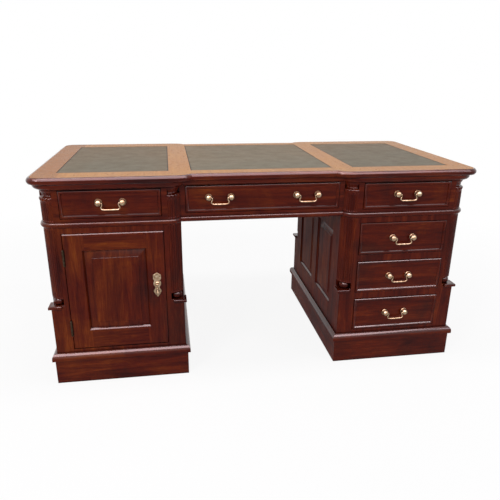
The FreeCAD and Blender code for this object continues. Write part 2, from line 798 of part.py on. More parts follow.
def pedestal_case():
    """Carcase of the right pedestal: drawers in front and a cupboard behind."""
    post = corner_post()
    posts = both_faces([post] + to_inner_post([post]))
    near, far = hinge_post_cutters()
    posts = [piece.cut(near).cut(far) for piece in posts]
    sides = side_frame()
    sides += to_inner_post(sides)
    rails = both_faces(face_rails()) + drawer_rails()
    x_range = inside_x()
    depth = (-RAIL_BACK_Y, RAIL_BACK_Y)
    floor = box(x_range, depth, (OPENING_Z0 - CARCASE_BOARD, OPENING_Z0))
    lid = box(x_range, depth, (Z_WAIST - CARCASE_BOARD, Z_WAIST))
    blocks = [square_post(POST_WIDTH, Z_CASE, Z_WAIST)]
    blocks = both_faces(blocks + to_inner_post(blocks))
    floor = floor.cut(blocks)
    lid = lid.cut(blocks)
    half = PARTITION / 2
    partition = box(x_range, (-half, half), (OPENING_Z0, Z_WAIST - CARCASE_BOARD))
    return posts + sides + rails + [floor, lid, partition] + cupboard_fittings()


def base_moulding():
    """Nosing and ovolo round the foot of the right pedestal, over its plinth."""
    nose = BASE_MOULDING_PROJECTION
    nose_z = Z_CASE + BASE_NOSE_HEIGHT
    radii = (nose - BASE_FILLET, Z_BASE_TOP - nose_z)
    ovolo = arc_points((BASE_FILLET, nose_z), radii, 0, 90, BEAD_CHORDS)
    return moulding(pedestal_outline(), [(0, Z_CASE), (nose, Z_CASE)] + ovolo + [(0, Z_BASE_TOP)])


def plinth():
    """Mitred plinth boards of the right pedestal with a glue block in each corner."""
    inside = PLINTH_PROJECTION - PLINTH_BOARD
    board = [(inside, 0), (PLINTH_PROJECTION, 0), (PLINTH_PROJECTION, PLINTH_HEIGHT), (inside, PLINTH_HEIGHT)]
    boards = moulding(pedestal_outline(), board)
    corner_x = OUTER_X + inside
    corner_y = -inside - CASE_Y
    legs = [(corner_x, corner_y), (corner_x, corner_y + GLUE_BLOCK), (corner_x - GLUE_BLOCK, corner_y)]
    block = prism(legs, 0, PLINTH_HEIGHT)
    return boards + both_faces([block] + to_inner_post([block]))


# --- Drawers --------------------------------------------------------------------
def drawer_front(width, height):
    """Front board with a half-round frame worked on its edges, drawn face up."""
    board = box((-width / 2, width / 2), (-height / 2, height / 2), (-DRAWER_FRONT, 0))
    half = FRONT_FRAME_WIDTH / 2
    round_edge = arc_points((-half, 0), (half, FRONT_FRAME_PROUD), 0, 180, FRAME_CHORDS)
    return joined([board] + moulding(square_cornered(rectangle(width, height)), round_edge))


def drawer_box(opening, front_y):
    """Front, sides, back and bottom of a drawer for an opening in the -Y face."""
    (x0, x1), (z0, z1) = opening
    left = x0 + DRAWER_GAP
    right = x1 - DRAWER_GAP
    low = z0 + DRAWER_GAP
    high = z1 - DRAWER_GAP
    front = drawer_front(right - left, high - low)
    front = stood_up([front], (x0 + x1) / 2, -front_y, (z0 + z1) / 2)[0]
    behind = DRAWER_FRONT - front_y
    end = -PARTITION / 2 - DRAWER_BACK_SPACE
    side_z = (z0 + DRAWER_RUN_CLEARANCE, high - DRAWER_SIDE_DROP)
    floor_z = z0 + DRAWER_BOTTOM_LIFT
    left_side = box((left, left + DRAWER_SIDE), (behind, end), side_z)
    right_side = box((right - DRAWER_SIDE, right), (behind, end), side_z)
    inner = (left + DRAWER_SIDE, right - DRAWER_SIDE)
    floor_x = (inner[0] - GROOVE, inner[1] + GROOVE)
    floor = box(floor_x, (behind - GROOVE, end), (floor_z, floor_z + DRAWER_BOTTOM))
    back = box(inner, (end - DRAWER_SIDE, end), (floor_z + DRAWER_BOTTOM, side_z[1] - DRAWER_BACK_DROP))
    return [front.cut(floor), left_side.cut(floor), right_side.cut(floor), back, floor]


def runners(opening, walls, plane, support_back, ledged):
    """The pair of guides, with ledges under them, that carry a drawer in the -Y face."""
    (x0, x1), (z0, _) = opening
    end = -PARTITION / 2
    ledge_z = (z0 - RUNNER_HEIGHT, z0)
    pair = []
    for edge, wall, inward in ((x0, walls[0], 1), (x1, walls[1], -1)):
        pieces = [box((wall, edge), (-support_back, end), (z0, z0 + GUIDE_HEIGHT))]
        if ledged:
            rail_back = plane - FRONT_RAIL_DEPTH
            pieces.append(box((wall, edge), (-support_back, end), ledge_z))
            pieces.append(box((edge, edge + inward * RUNNER_WIDTH), (-rail_back, end), ledge_z))
        pair.append(joined(pieces))
    return pair


def opening_about(x, width, z_range):
    return (x - width / 2, x + width / 2), z_range


def frieze_drawer_openings():
    """Openings of one face's frieze drawers, left to right."""
    z_range = (FRIEZE_Z0, FRIEZE_Z1)
    return [
        opening_about(-PEDESTAL_X, FRIEZE_DRAWER_WIDTH, z_range),
        opening_about(0, CENTRE_OPENING, z_range),
        opening_about(PEDESTAL_X, FRIEZE_DRAWER_WIDTH, z_range),
    ]


def handles_at(opening, xs, rise):
    """Pivot places of a drawer's handles, over the middle of its opening's height."""
    z = (opening[1][0] + opening[1][1]) / 2 + rise
    return [(x, z) for x in xs]


def front_drawers():
    """Name, opening, face plane and handle places of the front's drawers."""
    left, centre, right = frieze_drawer_openings()
    centre_xs = (-CENTRE_HANDLE_X, CENTRE_HANDLE_X)
    drawers = [
        ("left_frieze_drawer", left, CASE_Y, handles_at(left, (-PEDESTAL_X,), FRIEZE_HANDLE_RISE)),
        ("centre_frieze_drawer", centre, CENTRE_Y, handles_at(centre, centre_xs, FRIEZE_HANDLE_RISE)),
        ("right_frieze_drawer", right, CASE_Y, handles_at(right, (PEDESTAL_X,), FRIEZE_HANDLE_RISE)),
    ]
    for level, z_range in zip(("top", "middle", "bottom"), drawer_levels()):
        opening = opening_about(PEDESTAL_X, OPENING_WIDTH, z_range)
        handles = handles_at(opening, (PEDESTAL_X,), PEDESTAL_HANDLE_RISE)
        drawers.append((level + "_pedestal_drawer", opening, CASE_Y, handles))
    return drawers


def drawer_runners():
    """Runners and guides of every drawer; the lowest drawer runs on the pedestal's floor."""
    left, centre, right = frieze_drawer_openings()
    outer_wall = OUTER_X - FRIEZE_PARTITION
    inner_wall = INNER_X + FRIEZE_PARTITION
    pairs = runners(left, (-outer_wall, -inner_wall), CASE_Y, POST_BACK_Y, True)
    pairs += runners(right, (inner_wall, outer_wall), CASE_Y, POST_BACK_Y, True)
    pairs += runners(centre, (-INNER_X, INNER_X), CENTRE_Y, CENTRE_Y - FRONT_RAIL_DEPTH, True)
    levels = drawer_levels()
    for z_range in levels:
        opening = opening_about(PEDESTAL_X, OPENING_WIDTH, z_range)
        pairs += runners(opening, inside_x(), CASE_Y, POST_BACK_Y, z_range is not levels[-1])
    return pairs + turned(pairs, 180)


# --- Brass handles --------------------------------------------------------------
def bore(radius, reach):
    """Many-sided hole about Z that a pin of the radius turns in, past both faces of its piece."""
    hole = (radius + PIN_CLEARANCE) / math.cos(math.pi / PIN_SIDES)
    return turning(PIN_SIDES, (hole, -reach), (hole, reach))


def rosette():
    """Bevelled rosette with its post and bored eye, drawn face up on z = 0."""
    dome = turning(
        ROSETTE_SIDES,
        (ROSETTE_RADIUS, 0),
        (ROSETTE_RADIUS, ROSETTE_RIM),
        (ROSETTE_CROWN_RADIUS, ROSETTE_HEIGHT),
    )
    half = EYE_WIDTH / 2
    post = box((-half, half), (-EYE_RADIUS, EYE_RADIUS), (ROSETTE_RIM, BAIL_STAND_OFF + EYE_RADIUS))
    eye = along_x(bore(BAIL_PIN_RADIUS, EYE_WIDTH), 0, BAIL_STAND_OFF)
    return joined([dome, post]).cut(eye)


def bail_path():
    """Centre line of a swan-neck bail in the XZ plane, from its right shoulder to its left."""
    shoulder = HANDLE_CENTRES / 2 - EYE_WIDTH / 2 - BAIL_SHOULDER_GAP
    right = [
        (shoulder, 0),
        (shoulder - BAIL_SHOULDER_RUN, 0),
        (BAIL_NECK_X, -BAIL_NECK_DROP),
        (BAIL_BELLY_X, -BAIL_BELLY_DROP),
        (BAIL_GRIP_X, -BAIL_DROP),
    ]
    left = [(-x, z) for x, z in reversed(right)]
    return [Vector(x, 0, z) for x, z in right + left]


def faceted_wire(path, radius):
    """A many-sided wire along straight runs in the XZ plane, mitred at its bends."""
    normals = []
    for start, end in zip(path, path[1:]):
        normals.append((end - start).cross(Y_AXIS).normalize())
    rings = []
    for point, before, after in zip(path, normals[:1] + normals, normals + normals[-1:]):
        mitre = (before + after) * (1 / (1 + before.dot(after)))
        ring = []
        for i in range(WIRE_SIDES):
            angle = 2 * math.pi * (i + 0.5) / WIRE_SIDES
            across = mitre * (radius * math.cos(angle)) + Y_AXIS * (radius * math.sin(angle))
            ring.append(point + across)
        rings.append(ring)
    return flat_sided(rings)


def bail():
    """Swan-neck bail with its pivot pins along the X axis, hanging down."""
    path = bail_path()
    wire = faceted_wire(path, BAIL_WIRE_RADIUS)
    shoulder = path[0].x
    length = HANDLE_CENTRES / 2 + EYE_WIDTH / 2 - shoulder
    pin = along_x(turning(PIN_SIDES, (BAIL_PIN_RADIUS, 0), (BAIL_PIN_RADIUS, length)), shoulder, 0)
    return joined([wire, pin, pin.mirror(ORIGIN, X_AXIS)])


def rosettes_for(plane, handles):
    pieces = []
    for x, z in handles:
        for side in (-1, 1):
            pieces += stood_up([rosette()], x + side * HANDLE_CENTRES / 2, -plane, z)
    return pieces


# --- Doors ----------------------------------------------------------------------
def door_opening():
    return opening_about(-PEDESTAL_X, OPENING_WIDTH, (OPENING_Z0, OPENING_Z1))


def door_leaf():
    """Left front door: frame, fielded panel and bead, as separate solids."""
    (x0, x1), (z0, z1) = door_opening()
    width = x1 - x0 - 2 * DOOR_GAP
    height = z1 - z0 - 2 * DOOR_GAP
    half_w = width / 2
    half_h = height / 2
    panel_w = width - 2 * DOOR_STILE
    panel_h = height - DOOR_TOP_RAIL - DOOR_BOTTOM_RAIL
    panel_y = (DOOR_BOTTOM_RAIL - DOOR_TOP_RAIL) / 2
    thickness = (-DOOR_THICKNESS, 0)
    blank = box((-half_w, half_w), (-half_h, half_h), thickness)
    rounded = [edge for edge in blank.Edges if edge.BoundBox.ZMin == edge.BoundBox.ZMax == 0]
    blank = blank.makeChamfer(DOOR_ROUND, rounded)
    inner = (DOOR_STILE - half_w, half_w - DOOR_STILE)
    cutters = [
        box((-half_w, inner[0]), (-half_h, half_h), thickness),
        box((inner[1], half_w), (-half_h, half_h), thickness),
        box(inner, (half_h - DOOR_TOP_RAIL, half_h), thickness),
        box(inner, (-half_h, DOOR_BOTTOM_RAIL - half_h), thickness),
    ]
    groove = panel_groove(panel_w, panel_h).translated(Vector(0, panel_y, 0))
    frame = [blank.common(cutter).cut(groove) for cutter in cutters]
    panel = moved(fielded_panel(panel_w, panel_h), 0, panel_y, 0)
    standing = stood_up(frame + panel, (x0 + x1) / 2, -CASE_Y - DOOR_PROUD, (z0 + z1) / 2)
    recesses = [leaf_plate(z, 1) for z in hinge_heights()]
    for recess in recesses:
        standing = [piece.cut(recess) for piece in standing]
    return standing


def hinge_axis():
    """Pin line of the left front door."""
    x = door_opening()[0][0] + DOOR_GAP / 2
    y = -CASE_Y - DOOR_PROUD - HINGE_BARREL_RADIUS - KNUCKLE_GAP
    return x, y


def hinge_heights():
    """Bottom ends of the two hinges."""
    (z0, z1) = door_opening()[1]
    return [z0 + DOOR_GAP + HINGE_END_DISTANCE, z1 - DOOR_GAP - HINGE_END_DISTANCE - HINGE_LENGTH]


def leaf_plate(z, side):
    """A hinge's leaf: side 1 is let into the door's edge, side -1 into the post."""
    x, y = hinge_axis()
    face = x + side * DOOR_GAP / 2
    back = y + HINGE_LEAF_WIDTH + HINGE_BARREL_RADIUS
    return box((face, face + side * HINGE_LEAF), (y, back), (z, z + HINGE_LENGTH))


def knuckle_range(z, side):
    """The post's leaf carries the lower knuckle and the door's leaf the upper one."""
    middle = z + HINGE_LENGTH / 2
    if side > 0:
        return middle + KNUCKLE_GAP / 2, z + HINGE_LENGTH
    return z, middle - KNUCKLE_GAP / 2


def hinge_half(z, side):
    """One leaf with its knuckle; the pin stands in the post's half."""
    x, y = hinge_axis()
    low, high = knuckle_range(z, side)
    other_low, other_high = knuckle_range(z, -side)
    spare = HINGE_BARREL_RADIUS + KNUCKLE_GAP
    around = ((x - spare, x + spare), (y - spare, y + spare))
    plate = leaf_plate(z, side).cut(box(*around, (other_low - KNUCKLE_GAP, other_high + KNUCKLE_GAP)))
    barrel = turning(HINGE_SIDES, (HINGE_BARREL_RADIUS, low), (HINGE_BARREL_RADIUS, high))
    pin_high = z + HINGE_LENGTH - HINGE_PIN_COVER
    if side > 0:
        hole = HINGE_PIN_RADIUS + PIN_CLEARANCE
        room = turning(HINGE_SIDES, (hole, low), (hole, pin_high + KNUCKLE_GAP))
        return joined([plate, barrel.translated(Vector(x, y, 0))]).cut(room.translated(Vector(x, y, 0)))
    pin = turning(HINGE_SIDES, (HINGE_PIN_RADIUS, z + HINGE_PIN_ROOT), (HINGE_PIN_RADIUS, pin_high))
    return joined([plate] + moved([barrel, pin], x, y, 0))


def hinge_post_cutters():
    """Recesses for the fixed leaves in the right pedestal's back posts."""
    leaves = [leaf_plate(z, -1) for z in hinge_heights()]
    return turned(leaves, 180)


def door_hinge_leaves():
    fixed = [hinge_half(z, -1) for z in hinge_heights()]
    return fixed + turned(fixed, 180)


def pull_centre():
    """Pivot of the drop on the left front door's free stile."""
    x1 = door_opening()[0][1]
    return x1 - DOOR_GAP - DOOR_STILE / 2, -CASE_Y - DOOR_PROUD, PULL_Z


def pull_plate():
    """Waisted backplate with two lugs and the drop's pin, drawn face up about the pivot."""
    left = [(-x, z) for x, z in reversed(PULL_PLATE_SIDE)]
    outline = [(0, PULL_PLATE_TOP)] + list(PULL_PLATE_SIDE) + [(0, PULL_PLATE_FOOT)] + left
    plate = prism(outline, 0, PULL_PLATE_THICKNESS)
    inside = DROP_EYE_WIDTH / 2 + KNUCKLE_GAP
    outside = inside + DROP_LUG_WIDTH
    lug_half = DROP_PIN_RADIUS + DROP_LUG_WALL
    lug = box((inside, outside), (-lug_half, lug_half), (0, DROP_STAND_OFF + lug_half))
    pin = turning(HINGE_SIDES, (DROP_PIN_RADIUS, -outside), (DROP_PIN_RADIUS, outside))
    return joined([plate, lug, lug.mirror(ORIGIN, X_AXIS), along_x(pin, 0, DROP_STAND_OFF)])


def drop():
    """Pear drop hanging from its eye, with the pivot at the origin."""
    pear = turning(DROP_SIDES, *DROP_PEAR, (DROP_NECK_RADIUS, -DROP_EYE_RADIUS / 2))
    half = DROP_EYE_WIDTH / 2
    hole = DROP_PIN_RADIUS + PIN_CLEARANCE
    eye = turning(HINGE_SIDES, (DROP_EYE_RADIUS, -half), (DROP_EYE_RADIUS, half))
    room = turning(HINGE_SIDES, (hole, -DROP_EYE_WIDTH), (hole, DROP_EYE_WIDTH))
    return joined([pear, along_x(eye, 0, 0)]).cut(along_x(room, 0, 0))


def door_pull():
    return stood_up([pull_plate()], *pull_centre())[0]


def door_drop():
    x, y, z = pull_centre()
    return drop().translated(Vector(x, y - DROP_STAND_OFF, z))


# --- Nodes ----------------------------------------------------------------------
def write_case():
    write_node("top_board", top_board())
    write_node("top_edge_moulding", top_edge_moulding())
    write_node("top_crossbanding", top_crossbanding())
    write_node("top_leathers", top_leathers())
    write_node("top_under_moulding", top_under_moulding())
    write_node("frieze_case", frieze_case())
    write_node("waist_moulding", waist_moulding())
    right = pedestal_case()
    write_node("right_pedestal_case", right)
    write_node("left_pedestal_case", turned(right, 180))
    write_node("pedestal_side_panels", both_ends(side_panels()))
    write_node("base_mouldings", both_ends(base_moulding()))
    write_node("plinths", both_ends(plinth()))
    write_node("fluted_pilasters", fluted_columns())
    write_node("pilaster_carvings", column_carvings())
    write_node("drawer_runners", drawer_runners())
    write_node("door_hinge_leaves", door_hinge_leaves())


def write_drawers():
    swan_bail = bail()
    for name, opening, plane, handles in front_drawers():
        wood = drawer_box(opening, plane)
        brass = rosettes_for(plane, handles)
        hands = ("",) if len(handles) == 1 else ("_left", "_right")
        for face, angle in (("front", 0), ("back", 180)):
            write_node(face + "_" + name, turned(wood, angle))
            write_node(face + "_" + name + "_rosettes", turned(brass, angle))
            for hand, (x, z) in zip(hands, handles):
                hung = moved([swan_bail], x, -plane - BAIL_STAND_OFF, z)
                write_node(face + "_" + name + "_bail" + hand, turned(hung, angle))


def write_doors():
    leaf = door_leaf()
    brass = [hinge_half(z, 1) for z in hinge_heights()] + [door_pull()]
    for face, angle in (("front", 0), ("back", 180)):
        write_node(face + "_door", turned(leaf, angle))
        write_node(face + "_door_brass", turned(brass, angle))
        write_node(face + "_door_drop", turned([door_drop()], angle))


os.makedirs("parts", exist_ok=True)
write_case()
write_drawers()
write_doors()
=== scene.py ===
"""Looks of the partners desk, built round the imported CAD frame. Metres, +Z up, front towards -Y."""
import math

import bmesh
import bpy
from mathutils import Matrix, Vector


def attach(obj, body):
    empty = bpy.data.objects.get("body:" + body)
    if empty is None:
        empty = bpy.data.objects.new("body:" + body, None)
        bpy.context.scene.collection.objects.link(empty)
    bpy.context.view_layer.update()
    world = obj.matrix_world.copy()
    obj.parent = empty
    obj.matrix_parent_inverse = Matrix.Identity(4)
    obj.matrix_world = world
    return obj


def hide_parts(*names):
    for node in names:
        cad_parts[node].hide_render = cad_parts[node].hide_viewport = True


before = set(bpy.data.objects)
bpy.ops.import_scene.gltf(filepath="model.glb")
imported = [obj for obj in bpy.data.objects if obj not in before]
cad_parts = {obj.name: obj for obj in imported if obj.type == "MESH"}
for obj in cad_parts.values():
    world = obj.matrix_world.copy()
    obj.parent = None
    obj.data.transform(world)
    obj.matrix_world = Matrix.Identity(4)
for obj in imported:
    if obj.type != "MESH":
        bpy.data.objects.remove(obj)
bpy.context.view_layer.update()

FACES = ("front", "back")
DRAWERS = ("left_frieze", "centre_frieze", "right_frieze",
           "top_pedestal", "middle_pedestal", "bottom_pedestal")


# ---------------------------------------------------------------- node graph helpers
class Graph:
    """A material's node tree, with short ways to add nodes and to join them."""

    def __init__(self, name):
        self.material = bpy.data.materials.new(name)
        self.material.use_nodes = True
        self.tree = self.material.node_tree
        self.shader = self.tree.nodes["Principled BSDF"]

    def put(self, socket, value):
        """Sets a socket from a number, a colour or another socket."""
        if isinstance(value, bpy.types.NodeSocket):
            self.tree.links.new(value, socket)
        elif isinstance(value, (tuple, list)) and len(value) == 3 and socket.type == "RGBA":
            socket.default_value = (*value, 1.0)
        else:
            socket.default_value = value

    def surface(self, name, value):
        """Sets an input of the material's surface shader."""
        self.put(self.shader.inputs[name], value)

    def node(self, kind, **inputs):
        """Adds a node and sets its inputs, written here with _ for each space of their names."""
        made = self.tree.nodes.new(kind)
        for name, value in inputs.items():
            self.put(made.inputs[name.replace("_", " ")], value)
        return made

    def math(self, operation, a, b=0.0, c=0.0, clamp=False):
        made = self.tree.nodes.new("ShaderNodeMath")
        made.operation = operation
        made.use_clamp = clamp
        for socket, value in zip(made.inputs, (a, b, c)):
            self.put(socket, value)
        return made.outputs[0]

    def plus(self, a, b, clamp=False):
        return self.math("ADD", a, b, clamp=clamp)

    def times(self, a, b):
        return self.math("MULTIPLY", a, b)

    def unsigned(self, a):
        return self.math("ABSOLUTE", a)

    def over(self, a, limit):
        """1 where a is over the limit, else 0."""
        return self.math("GREATER_THAN", a, limit)

    def under(self, a, limit):
        """1 where a is under the limit, else 0."""
        return self.math("LESS_THAN", a, limit)

    def between(self, a, low, high):
        """1 where a is from low to high, else 0."""
        return self.math("COMPARE", a, (low + high) / 2, (high - low) / 2)

    def mix(self, factor, a, b, blend="MIX"):
        made = self.tree.nodes.new("ShaderNodeMix")
        made.data_type = "RGBA"
        made.blend_type = blend
        self.put(made.inputs["Factor"], factor)
        self.put(made.inputs[6], a)
        self.put(made.inputs[7], b)
        return made.outputs[2]

    def tint(self, colour, factors):
        """The colour with its red, green and blue each times a factor."""
        return self.mix(1.0, colour, factors, "MULTIPLY")

    def place(self, scale=(1.0, 1.0, 1.0)):
        """Where a point of the desk is, in metres of the desk's own frame, stretched by scale."""
        source = self.tree.nodes.new("ShaderNodeTexCoord")
        shaped = self.tree.nodes.new("ShaderNodeMapping")
        shaped.inputs["Scale"].default_value = scale
        self.tree.links.new(source.outputs["Object"], shaped.inputs["Vector"])
        return shaped.outputs[0]

    def axes(self, vector):
        """The x, y and z of a vector."""
        return tuple(self.node("ShaderNodeSeparateXYZ", Vector=vector).outputs)

    def facing(self):
        """The x, y and z of the surface's normal."""
        return self.axes(self.tree.nodes.new("ShaderNodeNewGeometry").outputs["Normal"])

    def openness(self, reach):
        """1 in the open, and less in a corner or hollow that is narrower than reach."""
        return self.node("ShaderNodeAmbientOcclusion", Distance=reach).outputs["AO"]

    def noise(self, vector, scale, detail=4.0, rough=0.6, distortion=0.0):
        made = self.node("ShaderNodeTexNoise", Vector=vector, Scale=scale, Detail=detail, Roughness=rough,
                         Distortion=distortion)
        return made.outputs["Fac"]

    def ramp(self, factor, stops):
        """Colour ramp from (position, colour) stops."""
        made = self.tree.nodes.new("ShaderNodeValToRGB")
        self.put(made.inputs[0], factor)
        bar = made.color_ramp
        while len(bar.elements) < len(stops):
            bar.elements.new(0.5)
        for element, (position, colour) in zip(bar.elements, stops):
            element.position = position
            element.color = (*colour, 1.0)
        return made.outputs[0]

    def level(self, factor, span, to=(0.0, 1.0)):
        """Goes from the first to the second value of to while the factor crosses the span."""
        made = self.tree.nodes.new("ShaderNodeMapRange")
        self.put(made.inputs["Value"], factor)
        for name, value in zip(("From Min", "From Max", "To Min", "To Max"), (*span, *to)):
            self.put(made.inputs[name], value)
        return made.outputs[0]

    def bump(self, height, strength, distance):
        """Sets the surface's relief."""
        made = self.node("ShaderNodeBump", Height=height, Strength=strength, Distance=distance)
        self.surface("Normal", made.outputs[0])


# ---------------------------------------------------------------- mahogany
GRAIN = {"X": (1.0, 12.0, 12.0), "Y": (12.0, 1.0, 12.0), "Z": (12.0, 12.0, 1.0)}    # finest across the grain
PORE_ALONG, PORE_ACROSS = 4.0, 60.0
END_FACE = 0.75             # a face turned more to X than this shows the ends of boards that run along X
WOOD_FIGURE = (
    (0.33, (0.026, 0.0018, 0.0008)),
    (0.45, (0.054, 0.0045, 0.0012)),
    (0.56, (0.084, 0.0088, 0.0017)),
    (0.68, (0.136, 0.0200, 0.0032)),
)
DARK_CLOUD = (0.55, 0.75, 1.60)         # factors of red, green and blue
GOLDEN_CLOUD = (1.45, 2.30, 1.30)
PORE_COLOUR = (0.012, 0.0008, 0.0003)
PORE_STRENGTH = 0.40
CORNER_REACH = 0.012
CORNER_SHADE = (0.22, 0.18, 0.18)
POLISH = (0.13, 0.24)       # roughness, from the best polished to the most worn
DULL = 0.5                  # roughness that knees and chairs add to the sides of the kneehole
KNEEHOLE_X = 0.312          # which are nearer the middle than this
WAX_SLOPE = (0.06, 0.34)    # how far a face is turned up, from no wax to full wax
WAX_ROUGHNESS = 0.12
WOOD_SPECULAR = 0.15
WOOD_SHEEN = (1.0, 0.60, 0.62)
DOOR_X = (0.434, 0.636)     # between a door's stiles, on either face
DOOR_PANEL_Z = (0.2100, 0.5195)         # between its rails
DOOR_TOP = 0.585            # above this the door's edge holds no wax
DRAWER_FRONT_Y = 0.308      # nearer the middle than this a drawer's wood holds no wax
NOSING_Z = (0.735, 0.755)   # between these heights the wax on the top's edge thins
NOSING_WAX = 0.6            # to this share


def grain_lines(g, grain, x, z, facing_x):
    """Places stretched along the grain, which turns on the ends of boards and on the rails of a door."""
    if grain == "X":
        on_end = g.over(g.unsigned(facing_x), END_FACE)
        return g.mix(on_end, g.place(GRAIN["X"]), g.place(GRAIN["Y"]))
    if grain == "DOOR":
        off_panel = g.math("SUBTRACT", 1.0, g.between(z, *DOOR_PANEL_Z))
        rail = g.times(g.between(g.unsigned(x), *DOOR_X), off_panel)
        return g.mix(rail, g.place(GRAIN["Z"]), g.place(GRAIN["X"]))
    return g.place(GRAIN[grain])


def mahogany(name, grain, wax=0.9, wax_ior=1.5, wax_from=0.0):
    """French-polished red mahogany: soft flame along the grain, dark pores, and wax on what faces upwards."""
    g = Graph(name)
    around = g.place()
    x, y, z = g.axes(around)
    facing_x, _, facing_z = g.facing()
    along = grain_lines(g, grain, x, z, facing_x)
    pore_axis = "Z" if grain == "DOOR" else grain
    pore_scale = [PORE_ALONG if stretch == 1.0 else PORE_ACROSS for stretch in GRAIN[pore_axis]]
    ribbon = g.noise(along, scale=3.2, detail=5.0, distortion=0.8)
    fine = g.noise(along, scale=22.0, rough=0.65, distortion=0.2)
    wood = g.ramp(g.plus(g.times(ribbon, 0.70), g.times(fine, 0.30)), WOOD_FIGURE)

    cloud = g.noise(around, scale=4.6, distortion=0.4)
    wood = g.mix(g.level(cloud, (0.52, 0.68)), wood, g.tint(wood, DARK_CLOUD))
    wood = g.mix(g.level(cloud, (0.48, 0.34)), wood, g.tint(wood, GOLDEN_CLOUD))
    pores = g.level(g.noise(g.place(pore_scale), scale=30.0, detail=2.0, rough=0.5), (0.60, 0.74))
    wood = g.mix(g.times(pores, PORE_STRENGTH), wood, PORE_COLOUR)
    corner = g.openness(CORNER_REACH)
    g.surface("Base Color", g.mix(g.level(corner, (0.35, 0.85)), g.tint(wood, CORNER_SHADE), wood))

    worn = g.level(g.noise(around, scale=11.0), (0.3, 0.75), to=POLISH)
    inward = g.level(g.unsigned(facing_x), (0.4, 0.8))
    dulled = g.times(g.under(g.unsigned(x), KNEEHOLE_X), inward)
    g.surface("Roughness", g.plus(worn, g.times(dulled, DULL)))
    g.surface("Specular IOR Level", WOOD_SPECULAR)
    g.surface("Specular Tint", WOOD_SHEEN)
    g.bump(g.plus(g.times(ribbon, 0.5), g.times(pores, -0.35)), strength=0.16, distance=0.0005)
    if wax:
        if wax_from:
            held = g.over(g.unsigned(y), wax_from)
        elif grain == "DOOR":
            held = g.under(z, DOOR_TOP)
        else:
            held = g.level(z, NOSING_Z, to=(1.0, NOSING_WAX))
        reached = g.times(held, g.level(corner, (0.25, 0.60)))
        g.surface("Coat Weight", g.times(g.level(facing_z, WAX_SLOPE, to=(0.0, wax)), reached))
        g.surface("Coat Roughness", WAX_ROUGHNESS)
        g.surface("Coat IOR", wax_ior)
    return g.material


# ---------------------------------------------------------------- crossbanding
END_BAND_X = 0.70           # past this the top's veneer runs the other way
VENEER_STRETCH = 18.0
VENEER_FIGURE = (
    (0.26, (0.270, 0.102, 0.018)),
    (0.50, (0.340, 0.146, 0.030)),
    (0.74, (0.405, 0.192, 0.050)),
)
VENEER_CLOUD = (0.290, 0.112, 0.028)
VENEER_LEFT_END = (0.72, 0.62, 0.50)    # factors for the darker band at the left end
VENEER_ROUGHNESS = (0.26, 0.38)
VENEER_SPECULAR = 0.08


def crossband(name):
    """Golden straight-grained veneer whose grain runs across each band."""
    g = Graph(name)
    around = g.place()
    x = g.axes(around)[0]
    on_end = g.over(g.unsigned(x), END_BAND_X)
    long_band, end_band = (g.noise(g.place(scale), scale=7.0, detail=5.0, rough=0.62, distortion=0.3)
                           for scale in ((VENEER_STRETCH, 1.0, 1.0), (1.0, VENEER_STRETCH, 1.0)))
    grain = g.mix(on_end, long_band, end_band)
    fine = g.noise(around, scale=70.0, detail=3.0)
    tan = g.ramp(g.plus(g.times(grain, 0.9), g.times(fine, 0.1)), VENEER_FIGURE)
    cloud = g.noise(around, scale=4.0, detail=2.0, rough=0.5)
    tan = g.mix(g.level(cloud, (0.35, 0.65), to=(0.0, 0.4)), tan, VENEER_CLOUD)
    left_end = g.times(on_end, g.under(x, 0.0))
    g.surface("Base Color", g.mix(left_end, tan, g.tint(tan, VENEER_LEFT_END)))
    g.surface("Roughness", g.level(fine, (0.3, 0.7), to=VENEER_ROUGHNESS))
    g.surface("Specular IOR Level", VENEER_SPECULAR)
    g.bump(grain, strength=0.10, distance=0.0004)
    return g.material


# ---------------------------------------------------------------- leather
LEATHER_RANGES = ((-0.7140, -0.3365), (-0.2585, 0.2585), (0.3365, 0.7140))
LEATHER_HALF_DEPTH = 0.2960
LEATHER_LINE = 0.0035       # dark line tooled round each leather
LINE_COLOUR = (0.020, 0.014, 0.009)
# hide colours at the front and at the back; the change from one to the other is a painted reflection
HIDE_NEAR = (0.083, 0.071, 0.044)
HIDE_FAR = (0.118, 0.075, 0.036)
MIDDLE_EDGE = (0.24, 0.34)  # where the middle leather gives way to its neighbours
MIDDLE_HIDE = (1.16, 1.20, 1.26)        # factors for the middle leather, which is paler
SPOT_COLOUR = (0.060, 0.047, 0.029)
PEBBLES_PER_METRE = 520.0
PEBBLE_COLOUR = (0.170, 0.140, 0.098)
HIDE_ROUGHNESS = (0.40, 0.55)
HIDE_SPECULAR = 0.08


